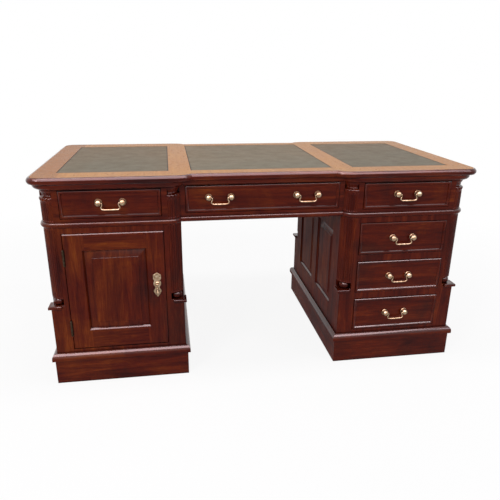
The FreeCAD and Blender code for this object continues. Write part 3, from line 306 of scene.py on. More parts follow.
def leather(name):
    """Old green-grey hide with a pebble grain and a dark line round it, and a painted reflection that turns
    it browner towards the back.
    """
    g = Graph(name)
    around = g.place()
    x, y, _ = g.axes(around)
    cloud = g.noise(around, scale=2.4, rough=0.50, distortion=0.3)
    # painted reflection: the hide turns from its near colour to its far colour towards the back, mixed with
    # random mottle
    far = g.level(y, (-0.26, 0.30))
    painted_reflection_and_mottle = g.plus(g.times(far, 0.8), g.level(cloud, (0.30, 0.70), to=(-0.35, 0.35)), clamp=True)
    hide = g.mix(painted_reflection_and_mottle, HIDE_NEAR, HIDE_FAR)
    middle = g.level(g.unsigned(x), MIDDLE_EDGE, to=(1.0, 0.0))
    hide = g.mix(middle, hide, g.tint(hide, MIDDLE_HIDE))
    spots = g.noise(around, scale=19.0, detail=6.0, rough=0.68)
    hide = g.mix(g.level(spots, (0.48, 0.76), to=(0.0, 0.35)), hide, SPOT_COLOUR)
    cells = g.node("ShaderNodeTexVoronoi", Scale=PEBBLES_PER_METRE, Vector=around)
    pebble = g.level(cells.outputs["Distance"], (0.0, 0.7))
    hide = g.mix(g.times(pebble, 0.16), hide, PEBBLE_COLOUR)
    within = 0.0
    for low, high in LEATHER_RANGES:
        within = g.plus(within, g.between(x, low + LEATHER_LINE, high - LEATHER_LINE))
    inner = g.under(g.unsigned(y), LEATHER_HALF_DEPTH - LEATHER_LINE)
    g.surface("Base Color", g.mix(g.times(within, inner), LINE_COLOUR, hide))
    g.surface("Roughness", g.level(spots, (0.3, 0.7), to=HIDE_ROUGHNESS))
    g.surface("Specular IOR Level", HIDE_SPECULAR)
    g.bump(g.plus(pebble, spots), strength=0.22, distance=0.0003)
    return g.material


# ---------------------------------------------------------------- brass
BRASS_FIGURE = (
    (0.32, (0.170, 0.105, 0.056)),
    (0.50, (0.320, 0.226, 0.142)),
    (0.68, (0.500, 0.395, 0.285)),
)
BRASS_HOLLOW = (0.120, 0.060, 0.026)
HOLLOW_REACH = 0.006
BRASS_ROUGHNESS = (0.42, 0.28)          # from dirty to clean
HINGE_BRASS_SHARE = 0.16              # the hinges' brass has this share of the handles' colour


def brass(name, tone=1.0):
    """Pale lacquered brass, brown in the hollows. A tone under 1 darkens all its colours."""
    def toned(colour):
        return tuple(tone * c for c in colour)

    g = Graph(name)
    dirt = g.noise(g.place(), scale=110.0, detail=5.0)
    metal = g.ramp(dirt, [(position, toned(colour)) for position, colour in BRASS_FIGURE])
    in_the_open = g.level(g.openness(HOLLOW_REACH), (0.45, 0.95))
    g.surface("Base Color", g.mix(in_the_open, toned(BRASS_HOLLOW), metal))
    g.surface("Metallic", 1.0)
    g.surface("Roughness", g.level(dirt, (0.3, 0.7), to=BRASS_ROUGHNESS))
    g.bump(dirt, strength=0.12, distance=0.0003)
    return g.material


# ---------------------------------------------------------------- finish of the CAD nodes
WOOD = {axis: mahogany("mahogany_grain_" + axis.lower(), axis) for axis in ("X", "Z", "DOOR")}
FLUTED_WOOD = mahogany("mahogany_of_the_columns", "Z", wax=0.0)
DRAWER_WOOD = mahogany("mahogany_of_the_drawers", "X", wax=1.0, wax_ior=1.7, wax_from=DRAWER_FRONT_Y)
CARVED_WOOD = mahogany("mahogany_of_the_carvings", "X", wax=0.55)
TAN = crossband("crossbanding_veneer")
HIDE = leather("writing_leather")
METAL = brass("antique_brass")
# the hinges get a much darker copy of the handles' brass
DARK_METAL = brass("darkened_hinge_brass", HINGE_BRASS_SHARE)
UPRIGHT = ("right_pedestal_case", "left_pedestal_case", "pedestal_side_panels", "fluted_pilasters",
           "pilaster_carvings")

SMOOTH_ANGLE = math.radians(38.0)       # flats of one curve meet at less than this
FLAT_ANGLE = math.radians(0.5)          # faces that meet at less than this are parts of one flat
ARRIS_ANGLE = math.radians(40.0)        # edges sharper than this are worn round
SOFT_EDGE = 0.0012          # rounding that wear gives to mahogany arrises
WELD = 0.00002              # points nearer than this are one point


def finish_of(name):
    """Material of a CAD node."""
    if name == "top_crossbanding":
        return TAN
    if name == "top_leathers":
        return HIDE
    if name == "door_hinge_leaves":
        return DARK_METAL
    if name.endswith(("_rosettes", "_bail", "_bail_left", "_bail_right", "_brass", "_drop")):
        return METAL
    if name.endswith("_door"):
        return WOOD["DOOR"]
    if name.endswith("_drawer"):
        return DRAWER_WOOD
    return WOOD["Z" if name in UPRIGHT else "X"]


def geometry_group(name):
    """An empty group of geometry nodes, its incoming geometry and the socket for what leaves it."""
    group = bpy.data.node_groups.new(name, "GeometryNodeTree")
    for way in ("INPUT", "OUTPUT"):
        group.interface.new_socket("Geometry", in_out=way, socket_type="NodeSocketGeometry")
    entry = group.nodes.new("NodeGroupInput")
    leave = group.nodes.new("NodeGroupOutput")
    return group, entry.outputs[0], leave.inputs[0]


def curve_smoothing():
    """Geometry nodes that shade the flats of a moulding as one curve and keep its arrises."""
    group, entry, leave = geometry_group("curve_smoothing")
    faces = group.nodes.new("GeometryNodeSetShadeSmooth")
    edges = group.nodes.new("GeometryNodeSetShadeSmooth")
    edges.domain = "EDGE"
    edges.inputs["Shade Smooth"].default_value = False
    bend = group.nodes.new("GeometryNodeInputMeshEdgeAngle")
    sharp = group.nodes.new("FunctionNodeCompare")
    sharp.operation = "GREATER_THAN"
    sharp.inputs[1].default_value = SMOOTH_ANGLE
    beside = group.nodes.new("GeometryNodeInputMeshEdgeNeighbors")
    joint = group.nodes.new("FunctionNodeCompare")
    joint.data_type = "INT"
    joint.operation = "NOT_EQUAL"
    joint.inputs["B"].default_value = 2
    either = group.nodes.new("FunctionNodeBooleanMath")
    either.operation = "OR"
    links = group.links
    links.new(beside.outputs["Face Count"], joint.inputs["A"])
    links.new(bend.outputs["Unsigned Angle"], sharp.inputs[0])
    links.new(sharp.outputs[0], either.inputs[0])
    links.new(joint.outputs[0], either.inputs[1])
    links.new(entry, faces.inputs["Geometry"])
    links.new(faces.outputs[0], edges.inputs["Geometry"])
    links.new(either.outputs[0], edges.inputs["Selection"])
    links.new(edges.outputs[0], leave)
    return group


def plain_normals():
    """Geometry nodes that drop the normals stored with the CAD mesh."""
    group, entry, leave = geometry_group("plain_normals")
    drop_stored = group.nodes.new("GeometryNodeRemoveAttribute")
    drop_stored.inputs["Name"].default_value = "custom_normal"
    group.links.new(entry, drop_stored.inputs["Geometry"])
    group.links.new(drop_stored.outputs[0], leave)
    return group


SMOOTHING = curve_smoothing()
PLAIN_NORMALS = plain_normals()


def dress(node, material):
    """Gives a CAD node its material, clean smooth shading and, if it is mahogany, worn edges."""
    node.data.materials.clear()
    node.data.materials.append(material)
    plain = node.modifiers.new("plain_normals", "NODES")
    plain.node_group = PLAIN_NORMALS
    weld = node.modifiers.new("weld", "WELD")
    weld.merge_threshold = WELD
    flat = node.modifiers.new("whole_flats", "DECIMATE")
    flat.decimate_type = "DISSOLVE"
    flat.angle_limit = FLAT_ANGLE
    if material.name.startswith("mahogany"):
        soft = node.modifiers.new("worn_edges", "BEVEL")
        soft.width = SOFT_EDGE
        soft.segments = 2
        soft.limit_method = "ANGLE"
        soft.angle_limit = ARRIS_ANGLE
    shading = node.modifiers.new("curve_smoothing", "NODES")
    shading.node_group = SMOOTHING
    weighted = node.modifiers.new("face_weights", "WEIGHTED_NORMAL")
    weighted.keep_sharp = True


for name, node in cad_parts.items():
    dress(node, finish_of(name))


# ---------------------------------------------------------------- shapes drawn in millimetres
MM = 0.001
SAME_POINT = 0.000001       # metres
ARRIS = 35.0                # degrees from which an edge of a brass shows sharp
CARVED_ARRIS = 50.0         # and one of a column or carving


def flow(points, steps):
    """A smooth curve through the points, with that many spans between neighbours."""
    spots = [Vector(p) for p in points]
    chain = [spots[0] * 2 - spots[1]] + spots + [spots[-1] * 2 - spots[-2]]
    curve = []
    for a, b, c, d in zip(chain, chain[1:], chain[2:], chain[3:]):
        for step in range(steps):
            t = step / steps
            curve.append((b * 2 + (c - a) * t + (a * 2 - b * 5 + c * 4 - d) * t ** 2
                          + (b * 3 - a - c * 3 + d) * t ** 3) * 0.5)
    curve.append(spots[-1])
    return curve


def circle(sides):
    """Corners of a regular polygon in a circle of radius 1."""
    turns = [2 * math.pi * i / sides for i in range(sides)]
    return [(math.cos(a), math.sin(a)) for a in turns]


class Shape:
    """Vertices and faces of a piece, in millimetres."""

    def __init__(self):
        self.verts = []
        self.faces = []

    def loft(self, rings, capped=True):
        """Skin over closed rings of equal count."""
        start = len(self.verts)
        count = len(rings[0])
        for ring in rings:
            self.verts += [Vector(p) for p in ring]
        for i in range(len(rings) - 1):
            for j in range(count):
                a = start + i * count + j
                b = start + i * count + (j + 1) % count
                self.faces.append((a, b, b + count, a + count))
        if capped:
            self.faces.append(tuple(start + j for j in reversed(range(count))))
            self.faces.append(tuple(start + (len(rings) - 1) * count + j for j in range(count)))
        return self

    def lathe(self, profile, sides, closed=False):
        """Turned about Z from (radius, height) pairs. closed joins the last pair to the first."""
        rings = [[(r * x, r * y, h) for x, y in circle(sides)] for r, h in profile]
        if closed:
            return self.loft(rings + rings[:1], capped=False)
        return self.loft(rings)

    def tube(self, path, radii, sides):
        """Round bar along a path in the XZ plane."""
        rings = []
        for i, point in enumerate(path):
            before, after = path[max(i - 1, 0)], path[min(i + 1, len(path) - 1)]
            along = (after - before).normalized()
            across = along.cross(Vector((0, 1, 0)))
            rings.append([point + across * (radii[i] * x) + Vector((0, radii[i] * y, 0))
                          for x, y in circle(sides)])
        return self.loft(rings)

    def box(self, low, high):
        (x0, y0, z0), (x1, y1, z1) = low, high
        plan = ((x0, y0), (x1, y0), (x1, y1), (x0, y1))
        return self.loft([[(x, y, z) for x, y in plan] for z in (z0, z1)])

    def add(self, other, place=None):
        """Adds a copy of another shape, placed by a matrix."""
        start = len(self.verts)
        self.verts += [place @ v if place else v.copy() for v in other.verts]
        self.faces += [tuple(start + i for i in face) for face in other.faces]
        return self

    def mesh(self, name, arris=ARRIS):
        """Blender mesh in metres, smooth but for edges that bend more than arris."""
        made = bpy.data.meshes.new(name)
        made.from_pydata([v * MM for v in self.verts], [], self.faces)
        work = bmesh.new()
        work.from_mesh(made)
        bmesh.ops.remove_doubles(work, verts=work.verts, dist=SAME_POINT)
        bmesh.ops.recalc_face_normals(work, faces=work.faces)
        work.to_mesh(made)
        work.free()
        made.shade_smooth()
        made.set_sharp_from_angle(angle=math.radians(arris))
        return made


def linked(name, data):
    """A new object in the scene for a mesh, a light or a camera."""
    made = bpy.data.objects.new(name, data)
    bpy.context.collection.objects.link(made)
    return made


def cut(solid, *tools):
    """The solid less the tools."""
    blank = linked("blank", solid.mesh("blank"))
    cutters = [linked("tool", tool.mesh("tool")) for tool in tools]
    for cutter in cutters:
        less = blank.modifiers.new("less", "BOOLEAN")
        less.operation = "DIFFERENCE"
        less.solver = "EXACT"
        less.object = cutter
    bpy.context.view_layer.update()
    worked = blank.evaluated_get(bpy.context.evaluated_depsgraph_get()).to_mesh()
    out = Shape()
    out.verts = [v.co / MM for v in worked.vertices]
    out.faces = [tuple(p.vertices) for p in worked.polygons]
    for thing in (blank, *cutters):
        mesh = thing.data
        bpy.data.objects.remove(thing)
        bpy.data.meshes.remove(mesh)
    return out


def piece(name, shape, material, body, stands_for, arris=ARRIS):
    """Puts a finished shape on a body, in the place of a CAD node."""
    made = linked(name, shape.mesh(name, arris))
    made.data.materials.append(material)
    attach(made, body)
    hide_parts(stands_for)


def moved(x, y, z):
    return Matrix.Translation((x, y, z))


AS_DRAWN = Matrix.Identity(4)
MIRROR_X = Matrix.Scale(-1, 4, (1, 0, 0))
MIRROR_Y = Matrix.Scale(-1, 4, (0, 1, 0))
HALF_TURN = Matrix.Rotation(math.pi, 4, "Z")
ON_FACE = {"front": AS_DRAWN, "back": HALF_TURN}
OUT_OF_FACE = Matrix.Rotation(math.pi / 2, 4, "X")      # a lathe's axis turned to face the sitter
ALONG_X = Matrix.Rotation(math.pi / 2, 4, "Y")

PEDESTAL_X = 535.0          # middle of a pedestal
OUTER_X = 771.0             # outer side of the case
CASE_Y = 359.0              # face of the pedestals and of the drawers over them
CENTRE_Y = 329.0            # face of the recessed centre drawer

# ---------------------------------------------------------------- swan-neck handles
HANDLE_Z = {"left_frieze": 689.5, "centre_frieze": 689.5, "right_frieze": 689.5,
            "top_pedestal": 519.25, "middle_pedestal": 364.0, "bottom_pedestal": 204.75}
CENTRE_HANDLE_X = 160.0
HANDLE_HALF = 40.0          # half the distance between a handle's two rosettes
STAND_OFF = 14.0            # pivot line in front of the drawer
KNOB_RIM = ((12.6, 0.0), (12.6, 0.9))
KNOB_BALL = ((11.8, 1.9), (8.6, 2.4), (8.8, 3.8), (10.6, 6.2), (11.4, 9.2), (11.1, 12.4), (9.6, 15.6),
             (7.0, 18.0), (3.7, 19.4), (0.2, 19.9))
KNOB_SIDES = 32
BAIL_LINE = ((32.0, 0.0), (29.6, 0.0), (27.9, -1.6), (27.6, -5.0), (28.9, -10.0), (30.9, -14.6),
             (30.6, -18.6), (27.6, -21.6), (22.0, -22.9), (11.0, -23.3), (0.0, -23.4))
BAIL_RADII = (1.9, 1.9, 2.0, 2.0, 2.1, 2.3, 2.3, 2.2, 2.4, 2.8, 3.0)     # one for each point of the line
BAIL_SPANS, BAIL_SIDES = 5, 14
PIVOT_HOLE = 2.15
DRILL = (-30.0, -8.5)       # x from the knob's axis: clear of the knob, and at the bottom of the hole
DRILL_SIDES = 16


def bail():
    """Swan-neck bail about its pivot, thickest at the grip."""
    half = [Vector((x, 0, z)) for x, z in BAIL_LINE]
    path = flow(half + [Vector((-p.x, 0, p.z)) for p in reversed(half[:-1])], BAIL_SPANS)
    radii = [Vector((r, 0)) for r in BAIL_RADII + BAIL_RADII[-2::-1]]
    return Shape().tube(path, [r.x for r in flow(radii, BAIL_SPANS)], BAIL_SIDES)


def knobs():
    """A handle's two ball rosettes, bored for the ends of the bail."""
    outline = [Vector(p) for p in KNOB_RIM] + flow(KNOB_BALL, 3)
    ball = Shape().add(Shape().lathe(outline, KNOB_SIDES), OUT_OF_FACE)
    clear, bottom = DRILL
    drill = Shape().lathe(((PIVOT_HOLE, bottom), (PIVOT_HOLE, clear)), DRILL_SIDES)
    right = cut(ball, Shape().add(drill, moved(0, -STAND_OFF, 0) @ ALONG_X))
    in_place = moved(HANDLE_HALF, 0, 0)
    return Shape().add(right, in_place).add(right, MIRROR_X @ in_place)


def handle_places(drawer):
    """The x of each handle of a drawer, with the ending of its bail's name."""
    if drawer == "centre_frieze":
        return ((-CENTRE_HANDLE_X, "_left"), (CENTRE_HANDLE_X, "_right"))
    return ((-PEDESTAL_X if drawer == "left_frieze" else PEDESTAL_X, ""),)


BAIL, KNOBS = bail(), knobs()
for face in FACES:
    for drawer in DRAWERS:
        base = face + "_" + drawer + "_drawer"
        plane = -CENTRE_Y if drawer == "centre_frieze" else -CASE_Y
        brasses = Shape()
        for x, hand in handle_places(drawer):
            brasses.add(KNOBS, ON_FACE[face] @ moved(x, plane, HANDLE_Z[drawer]))
            swinging = Shape().add(BAIL, ON_FACE[face] @ moved(x, plane - STAND_OFF, HANDLE_Z[drawer]))
            node = base + "_bail" + hand
            piece(node + "_cast", swinging, METAL, node, node)
        piece(base + "_ball_rosettes", brasses, METAL, base, base + "_rosettes")

# ---------------------------------------------------------------- door brasses
PULL_AT = (-394.0, -361.0, 382.0)       # on the door's face, straight behind the drop's pivot
PLATE_EDGE = (                          # half widths and heights of the waisted plate, lobe by lobe
    ((0.0, 43.0), (4.6, 41.4), (7.6, 38.0)),
    ((7.6, 38.0), (12.2, 36.4), (14.6, 31.0), (13.4, 25.6)),
    ((13.4, 25.6), (14.4, 20.6), (12.4, 15.4), (9.4, 12.6)),
    ((9.4, 12.6), (12.2, 8.6), (13.8, 1.0), (12.4, -6.0), (8.8, -10.6)),
    ((8.8, -10.6), (7.6, -15.0), (9.4, -20.0)),
    ((9.4, -20.0), (13.0, -24.6), (13.6, -30.6), (10.4, -36.0)),
    ((10.4, -36.0), (8.6, -41.0), (4.6, -43.4)),
    ((4.6, -43.4), (3.4, -48.4), (0.0, -52.0)),
)
PLATE_LAYERS = ((1.0, 0.0), (1.0, 1.0), (0.955, 1.7))   # share of the outline, and height
PLATE_HOLES = ((3.6, -17.5, 1.5), (6.2, -28.5, 1.9), (8.4, 27.5, 1.6), (2.8, 35.0, 1.3))    # x, y, radius
PUNCH = (-1.0, 4.0)                     # ends of a hole's tool, past both sides of the plate
BOSS = ((8.2, 1.0), (8.2, 2.2), (7.2, 3.0), (6.4, 3.2), (5.6, 4.2), (3.0, 4.8), (0.2, 4.9))
BOSS_SIDES = 28
LUG_X = 3.3                             # middle of each lug
LUG_HALF = (0.9, 2.6)                   # half its thickness and half its width
LUG_FOOT = 1.4                          # it starts inside the boss
LUG_EYE = ((3.0, -1.0), (3.4, -0.5), (3.4, 0.5), (3.0, 1.0))
LUG_SIDES = 20
DROP_STAND_OFF = 9.0
DROP_PIN = 1.25
DROP_PIN_HALF = 4.6
PIN_SIDES = 14
DROP_PEAR = ((0.3, -44.0), (1.7, -43.2), (2.0, -41.6), (1.3, -40.4), (3.2, -38.8), (5.2, -35.6), (5.5, -32.6),
             (4.6, -28.6), (3.0, -24.4), (1.9, -20.6), (1.5, -17.6), (2.7, -16.2), (2.8, -15.0), (1.6, -13.8),
             (1.3, -9.0), (1.5, -4.4), (2.0, -2.6))
EYE_BORE = DROP_PIN + 0.15
DROP_EYE = ((EYE_BORE, -1.9), (2.8, -1.9), (3.1, -1.2), (3.1, 1.2), (2.8, 1.9), (EYE_BORE, 1.9))
DROP_SIDES = 24

HINGE_AXIS = (-707.75, -364.5)
HINGE_FOOT = (192.5, 465.5)
HINGE_LENGTH = 60.0
LEAF_X = (0.75, 1.95)                   # both sides of the leaf, from the pin
LEAF_Y = (3.5, 23.2)                    # its near edge behind the knuckle and its far edge, from the pin
KNUCKLE_PLAY = 0.15                     # half the gap between the door's knuckle and the post's
BARREL = 3.2
HINGE_BORE = 1.6
KNUCKLE_HEAD = (                        # radius, and height from the hinge's top
    (BARREL, -0.8), (2.3, 0.0), (0.3, 0.4), (0.3, -9.2), (HINGE_BORE, -9.4),
)
KNUCKLE_SIDES = 24


def pull_plate():
    """Pierced and domed plate with its boss, lugs and pin, face up on z = 0, drawn with y up the door."""
    right = [p for lobe in PLATE_EDGE for p in flow(lobe, 4)[:-1]] + [Vector(PLATE_EDGE[-1][-1])]
    edge = [(p.x, p.y) for p in right] + [(-p.x, p.y) for p in reversed(right[1:-1])]
    shape = Shape().loft([[(x * k, y * k, h) for x, y in edge] for k, h in PLATE_LAYERS])
    holes = [Shape().add(Shape().lathe([(r, h) for h in PUNCH], PIN_SIDES), moved(s * x, y, 0))
             for x, y, r in PLATE_HOLES for s in (-1, 1)]
    shape = cut(shape, *holes)
    shape.add(Shape().lathe(BOSS, BOSS_SIDES))
    thick, wide = LUG_HALF
    for x in (-LUG_X, LUG_X):
        shape.add(Shape().lathe(LUG_EYE, LUG_SIDES), moved(x, 0, DROP_STAND_OFF) @ ALONG_X)
        shape.box((x - thick, -wide, LUG_FOOT), (x + thick, wide, DROP_STAND_OFF))
    pin = Shape().lathe(((DROP_PIN, -DROP_PIN_HALF), (DROP_PIN, DROP_PIN_HALF)), PIN_SIDES)
    return shape.add(pin, moved(0, 0, DROP_STAND_OFF) @ ALONG_X)


def drop():
    """Pear drop under its eye, about its pivot, hanging along -Z."""
    shape = Shape().lathe(flow(DROP_PEAR, 3), DROP_SIDES)
    return shape.add(Shape().lathe(DROP_EYE, DROP_SIDES, closed=True), ALONG_X)


def door_hinge(foot):
    """The door's leaf with its knuckle over the post's pin."""
    x, y = HINGE_AXIS
    near, far = x + LEAF_X[0], x + LEAF_X[1]
    knuckle_foot = foot + HINGE_LENGTH / 2 + KNUCKLE_PLAY
    top = foot + HINGE_LENGTH
    shape = Shape().box((near, y + LEAF_Y[0], foot), (far, y + LEAF_Y[1], top))
    shape.box((near, y, knuckle_foot), (far, y + LEAF_Y[0], top))
    sleeve = [(r, knuckle_foot) for r in (HINGE_BORE, BARREL)] + [(r, top + rise) for r, rise in KNUCKLE_HEAD]
    return shape.add(Shape().lathe(sleeve, KNUCKLE_SIDES, closed=True), moved(x, y, 0))


for face in FACES:
    door = face + "_door"
    plate = Shape().add(pull_plate(), ON_FACE[face] @ moved(*PULL_AT) @ OUT_OF_FACE)
    piece(door + "_pierced_plate", plate, METAL, door, door + "_brass")
    hinges = Shape()
    for foot in HINGE_FOOT:
        hinges.add(door_hinge(foot), ON_FACE[face])
    piece(door + "_hinge_halves", hinges, DARK_METAL, door, door + "_brass")
    x, y, z = PULL_AT
    hanging = Shape().add(drop(), ON_FACE[face] @ moved(x, y - DROP_STAND_OFF, z))
    piece(door + "_pear_drop", hanging, METAL, door + "_drop", door + "_drop")

# ---------------------------------------------------------------- columns and carvings
COLUMN_X, COLUMN_Y, COLUMN_R = 725.0, 313.0, 46.0
SHAFTS = ((622.0, 696.0), (340.0, 604.0))
FLUTES = 9
FLUTE_DEPTH = 2.0
FLUTE_HALF = 0.40           # half a flute's width, as a share of the pitch
FLUTE_STOP = 12.0           # from the ends of the shaft to where a flute has its full depth
FLUTE_RUN_OUT = 8.0         # length of a flute's round end
FLUTE_ENDS = (0.0, 4.0, 4.6, 5.4, 6.4, 7.6, 9.0, 10.5, FLUTE_STOP)     # the rings' heights, from each end
SAMPLES = 10                # across each flute or lobe
CAPITAL_FOOT = 696.0
CAPITAL_CURVE = ((0.0, 0.0), (1.4, 1.5), (2.2, 5.0), (1.6, 9.5), (-2.5, 13.0), (-7.6, 16.5), (-8.0, 19.5),
                 (-6.2, 24.5), (-3.2, 30.0), (-1.2, 34.5), (-0.8, 36.0), (-0.8, 40.0))
CAPITAL_LOBES = 5
LOBES_TOP, GADROONS_TOP = 11.0, 33.0    # above the capital's foot
LOBE_DEPTH, GADROON_DEPTH = 3.2, 1.7
LOBE_FULLNESS = 0.6         # under 1, the grooves between the lobes deepen fast from both ends
LEDGE_Z = (303.0, 314.0)
LEDGE_PROUD = 9.0           # beyond the case
LEDGE_REACH = 46.0          # from its corner, along each side
LEDGE_UNDER = ((1.6, 0.0), (0.5, 0.5), (0.0, 1.8))      # inset, and height above the underside
LEDGE_OVER = ((0.0, 2.4), (0.7, 0.8), (2.4, 0.0))       # inset, and depth below the top
BUN_CURVE = ((12.0, 314.0), (14.6, 314.8), (17.6, 318.2), (19.0, 323.0), (19.1, 327.6), (18.0, 332.4),
             (15.2, 336.8), (13.2, 338.8), (12.0, 340.0))
BUN_INSET = 19.0            # from the column's round to the bun's axis, in plan
BUN_SIDES = 32


def quarter(radius_at, heights, samples):
    """Quarter-round post of the right front outer corner, with a radius for every angle and height."""
    rings = []
    for z in heights:
        ring = [(COLUMN_X, -COLUMN_Y, z)]
        for i in range(samples + 1):
            share = i / samples
            angle = math.radians(270 + 90 * share)
            radius = radius_at(share, z)
            ring.append((COLUMN_X + radius * math.cos(angle), -COLUMN_Y + radius * math.sin(angle), z))
        rings.append(ring)
    return Shape().loft(rings)


def shaft(low, high):
    """Column shaft with round-ended flutes."""
    pitch = math.radians(90.0 / FLUTES) * COLUMN_R
    reach = pitch * FLUTE_HALF

    def radius_at(share, z):
        from_middle = (share * FLUTES % 1.0 - 0.5) * pitch
        past_end = max(low + FLUTE_STOP - z, z - high + FLUTE_STOP, 0.0)
        left = 1.0 - (from_middle / reach) ** 2 - (past_end / FLUTE_RUN_OUT) ** 2
        return COLUMN_R - FLUTE_DEPTH * math.sqrt(max(left, 0.0))

    heights = [low + end for end in FLUTE_ENDS] + [high - end for end in reversed(FLUTE_ENDS)]
    return quarter(radius_at, heights, FLUTES * SAMPLES)


def capital():
    """Carved capital: a row of rounded lobes under a hollow throat, gadroons and an abacus."""
    depth_at = {CAPITAL_FOOT + p.y: p.x for p in flow(CAPITAL_CURVE, 3)}

    def radius_at(share, z):
        rise = z - CAPITAL_FOOT
        groove = abs(math.sin(math.pi * share * CAPITAL_LOBES)) - 1.0
        carve = 0.0
        if rise < LOBES_TOP:
            carve = LOBE_DEPTH * groove * math.sin(math.pi * (rise / LOBES_TOP)) ** LOBE_FULLNESS
        elif rise < GADROONS_TOP:
            share_up = (rise - LOBES_TOP) / (GADROONS_TOP - LOBES_TOP)
            carve = GADROON_DEPTH * groove * math.sin(math.pi * share_up)
        return COLUMN_R + depth_at[z] + carve

    return quarter(radius_at, sorted(depth_at), CAPITAL_LOBES * SAMPLES)


def ledge():
    """Ledge round the foot of the column, its edges rounded over."""
    edge, front = OUTER_X + LEDGE_PROUD, -CASE_Y - LEDGE_PROUD
    low, high = LEDGE_Z
    inner, rear = edge - LEDGE_REACH, front + LEDGE_REACH
    steps = [(inset, low + rise) for inset, rise in LEDGE_UNDER]
    steps += [(inset, high - fall) for inset, fall in LEDGE_OVER]
    rings = []
    for inset, z in steps:
        side, nose = edge - inset, front + inset
        rings.append([(inner, nose, z), (side, nose, z), (side, rear, z), (OUTER_X, rear, z),
                      (OUTER_X, -CASE_Y, z), (inner, -CASE_Y, z)])
    return Shape().loft(rings)


def bun():
    """Turned bun that stands on the ledge under the column's round."""
    inset = (COLUMN_R - BUN_INSET) / math.sqrt(2)
    turned = Shape().lathe(flow(BUN_CURVE, 3), BUN_SIDES)
    return Shape().add(turned, moved(COLUMN_X + inset, -COLUMN_Y - inset, 0))


def at_all_corners(shape):
    """Copies of a right front outer piece at the eight corners of the pedestals."""
    to_inner = moved(2 * PEDESTAL_X, 0, 0) @ MIRROR_X
    out = Shape()
    for place in (AS_DRAWN, to_inner):
        for end in (AS_DRAWN, MIRROR_X):
            for side in (AS_DRAWN, MIRROR_Y):
                out.add(shape, side @ end @ place)
    return out


columns = Shape()
for low, high in SHAFTS:
    columns.add(at_all_corners(shaft(low, high)))
piece("round_fluted_columns", columns, FLUTED_WOOD, "case", "fluted_pilasters",
      arris=CARVED_ARRIS)
carvings = Shape()
for carving in (capital(), ledge(), bun()):
    carvings.add(at_all_corners(carving))
piece("carved_capitals_ledges_and_buns", carvings, CARVED_WOOD, "case", "pilaster_carvings",
      arris=CARVED_ARRIS)

# ---------------------------------------------------------------- floor and backdrop
FLOOR_HALF = 30.0
FLOOR_PAPER = ((0.84, 0.84, 0.84), (0.88, 0.88, 0.88))
FLOOR_ROUGHNESS = 0.7
FLOOR_GLOW = (0.90, 1.0)    # share of the floor's own white for the camera, near the desk and far from it
FLOOR_NEAR = (1.3, 2.6)     # distances between which that share rises
ROOM_LIGHT = (0.34, 0.34, 0.36, 1.0)
BACKDROP = (1.0, 1.0, 1.0, 1.0)


def seen_directly(tree):
    """1 for camera, glossy and transmission rays, else 0."""
    rays = tree.nodes.new("ShaderNodeLightPath")
    total = rays.outputs["Is Camera Ray"]
    for kind in ("Is Glossy Ray", "Is Transmission Ray"):
        either = tree.nodes.new("ShaderNodeMath")
        either.operation = "MAXIMUM"
        tree.links.new(total, either.inputs[0])
        tree.links.new(rays.outputs[kind], either.inputs[1])
        total = either.outputs[0]
    return total


def floor():
    """White paper floor that glows for the camera, so that it meets the backdrop and still takes a shadow."""
    corners = [(x * FLOOR_HALF, y * FLOOR_HALF, 0.0) for x, y in ((-1, -1), (1, -1), (1, 1), (-1, 1))]
    mesh = bpy.data.meshes.new("studio_floor")
    mesh.from_pydata(corners, [], [(0, 1, 2, 3)])
    made = linked("studio_floor", mesh)
    g = Graph("studio_floor_paper")
    around = g.place()
    g.surface("Base Color", g.mix(g.noise(around, scale=3.0, detail=2.0, rough=0.55), *FLOOR_PAPER))
    g.surface("Roughness", FLOOR_ROUGHNESS)
    g.surface("Specular IOR Level", 0.0)
    glow = g.node("ShaderNodeEmission", Strength=1.0)
    away = g.tree.nodes.new("ShaderNodeVectorMath")
    away.operation = "LENGTH"
    g.put(away.inputs[0], around)
    share = g.level(away.outputs["Value"], FLOOR_NEAR, to=FLOOR_GLOW)
    blend = g.tree.nodes.new("ShaderNodeMixShader")
    g.put(blend.inputs[0], g.times(seen_directly(g.tree), share))
    g.put(blend.inputs[1], g.shader.outputs[0])
    g.put(blend.inputs[2], glow.outputs[0])
    g.put(g.tree.nodes["Material Output"].inputs["Surface"], blend.outputs[0])
    made.data.materials.append(g.material)


def backdrop():
    """World that lights the desk softly and is white where it is seen."""
    world = bpy.data.worlds.new("studio")
    bpy.context.scene.world = world
    world.use_nodes = True
    tree = world.node_tree
    sky = tree.nodes.new("ShaderNodeMix")
    sky.data_type = "RGBA"
    sky.inputs[6].default_value = ROOM_LIGHT
    sky.inputs[7].default_value = BACKDROP
    tree.links.new(seen_directly(tree), sky.inputs["Factor"])
    tree.links.new(sky.outputs[2], tree.nodes["Background"].inputs["Color"])
    tree.nodes["Background"].inputs["Strength"].default_value = 1.0


floor()
backdrop()


# ---------------------------------------------------------------- lights
def softbox(name, place, aim, size, power, colour):
    """Area light that the camera doesn't see."""
    lamp = bpy.data.lights.new(name, "AREA")
    lamp.shape = "RECTANGLE"
    lamp.size, lamp.size_y = size
    lamp.energy = power
    lamp.color = colour
    made = linked(name, lamp)
    made.location = place
    made.rotation_euler = (Vector(aim) - Vector(place)).to_track_quat("-Z", "Y").to_euler()
    made.visible_camera = False
    return made


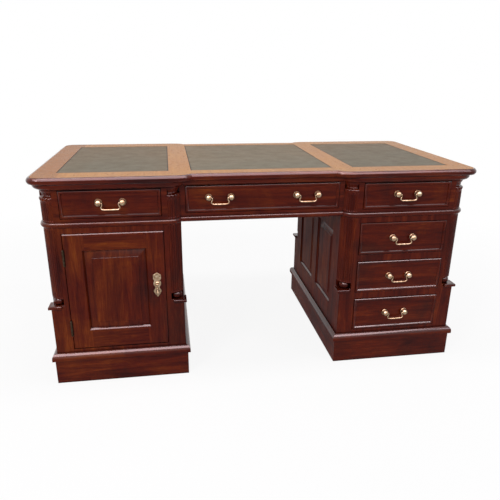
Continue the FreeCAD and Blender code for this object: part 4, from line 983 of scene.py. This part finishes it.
def card(name, **facts):
    """A softbox that shows in polish and brass and adds nothing to the plain level of light."""
    softbox(name, **facts).visible_diffuse = False


DESK_MIDDLE = (0.0, 0.0, 0.4)
softbox("overhead_softbox", place=(-0.2, -0.30, 3.0), aim=(-0.2, -0.29, 0.0), size=(2.6, 0.5), power=44.0,
        colour=(1.0, 0.98, 0.99))
softbox("key_softbox", place=(-2.4, -2.8, 2.6), aim=DESK_MIDDLE, size=(1.1, 1.1), power=66.0,
        colour=(1.0, 0.97, 0.93))
softbox("fill_softbox", place=(2.9, -2.6, 2.0), aim=DESK_MIDDLE, size=(1.2, 1.2), power=34.0,
        colour=(0.95, 0.92, 1.0))
card("overhead_card", place=(-0.3, -1.90, 2.3), aim=(-0.2, -1.10, 0.3), size=(4.6, 3.0), power=330.0,
     colour=(1.0, 0.84, 0.88))
behind = softbox("back_softbox", place=(2.2, 3.1, 0.95), aim=DESK_MIDDLE, size=(1.2, 0.8), power=30.0,
                 colour=(1.0, 0.97, 0.98))
behind.visible_glossy = False
card("back_card", place=(0.3, 1.35, 3.0), aim=(0.2, 0.75, 0.4), size=(3.6, 0.5), power=36.0,
     colour=(1.0, 0.86, 0.90))

# ---------------------------------------------------------------- camera
CAMERA_PLACE = (-0.33733, -2.09509, 1.12546)    # solved from the desk's upright and level edges
CAMERA_RIGHT = (0.9875, -0.1574, 0.0098)        # towards the right of the picture
CAMERA_BACK = (-0.1514, -0.9291, 0.3375)        # from the scene towards the camera
CAMERA_LENS = 36.80
CAMERA_SENSOR = 36.0

camera = bpy.data.cameras.new("camera")
camera.sensor_width = CAMERA_SENSOR
camera.lens = CAMERA_LENS
camera_object = linked("camera", camera)
back_axis = Vector(CAMERA_BACK).normalized()
right_axis = (Vector(CAMERA_RIGHT) - back_axis * Vector(CAMERA_RIGHT).dot(back_axis)).normalized()
up_axis = back_axis.cross(right_axis)
turn = Matrix((right_axis, up_axis, back_axis)).transposed().to_4x4()
camera_object.matrix_world = Matrix.Translation(CAMERA_PLACE) @ turn
bpy.context.scene.camera = camera_object
bpy.context.scene.view_settings.view_transform = "Standard"
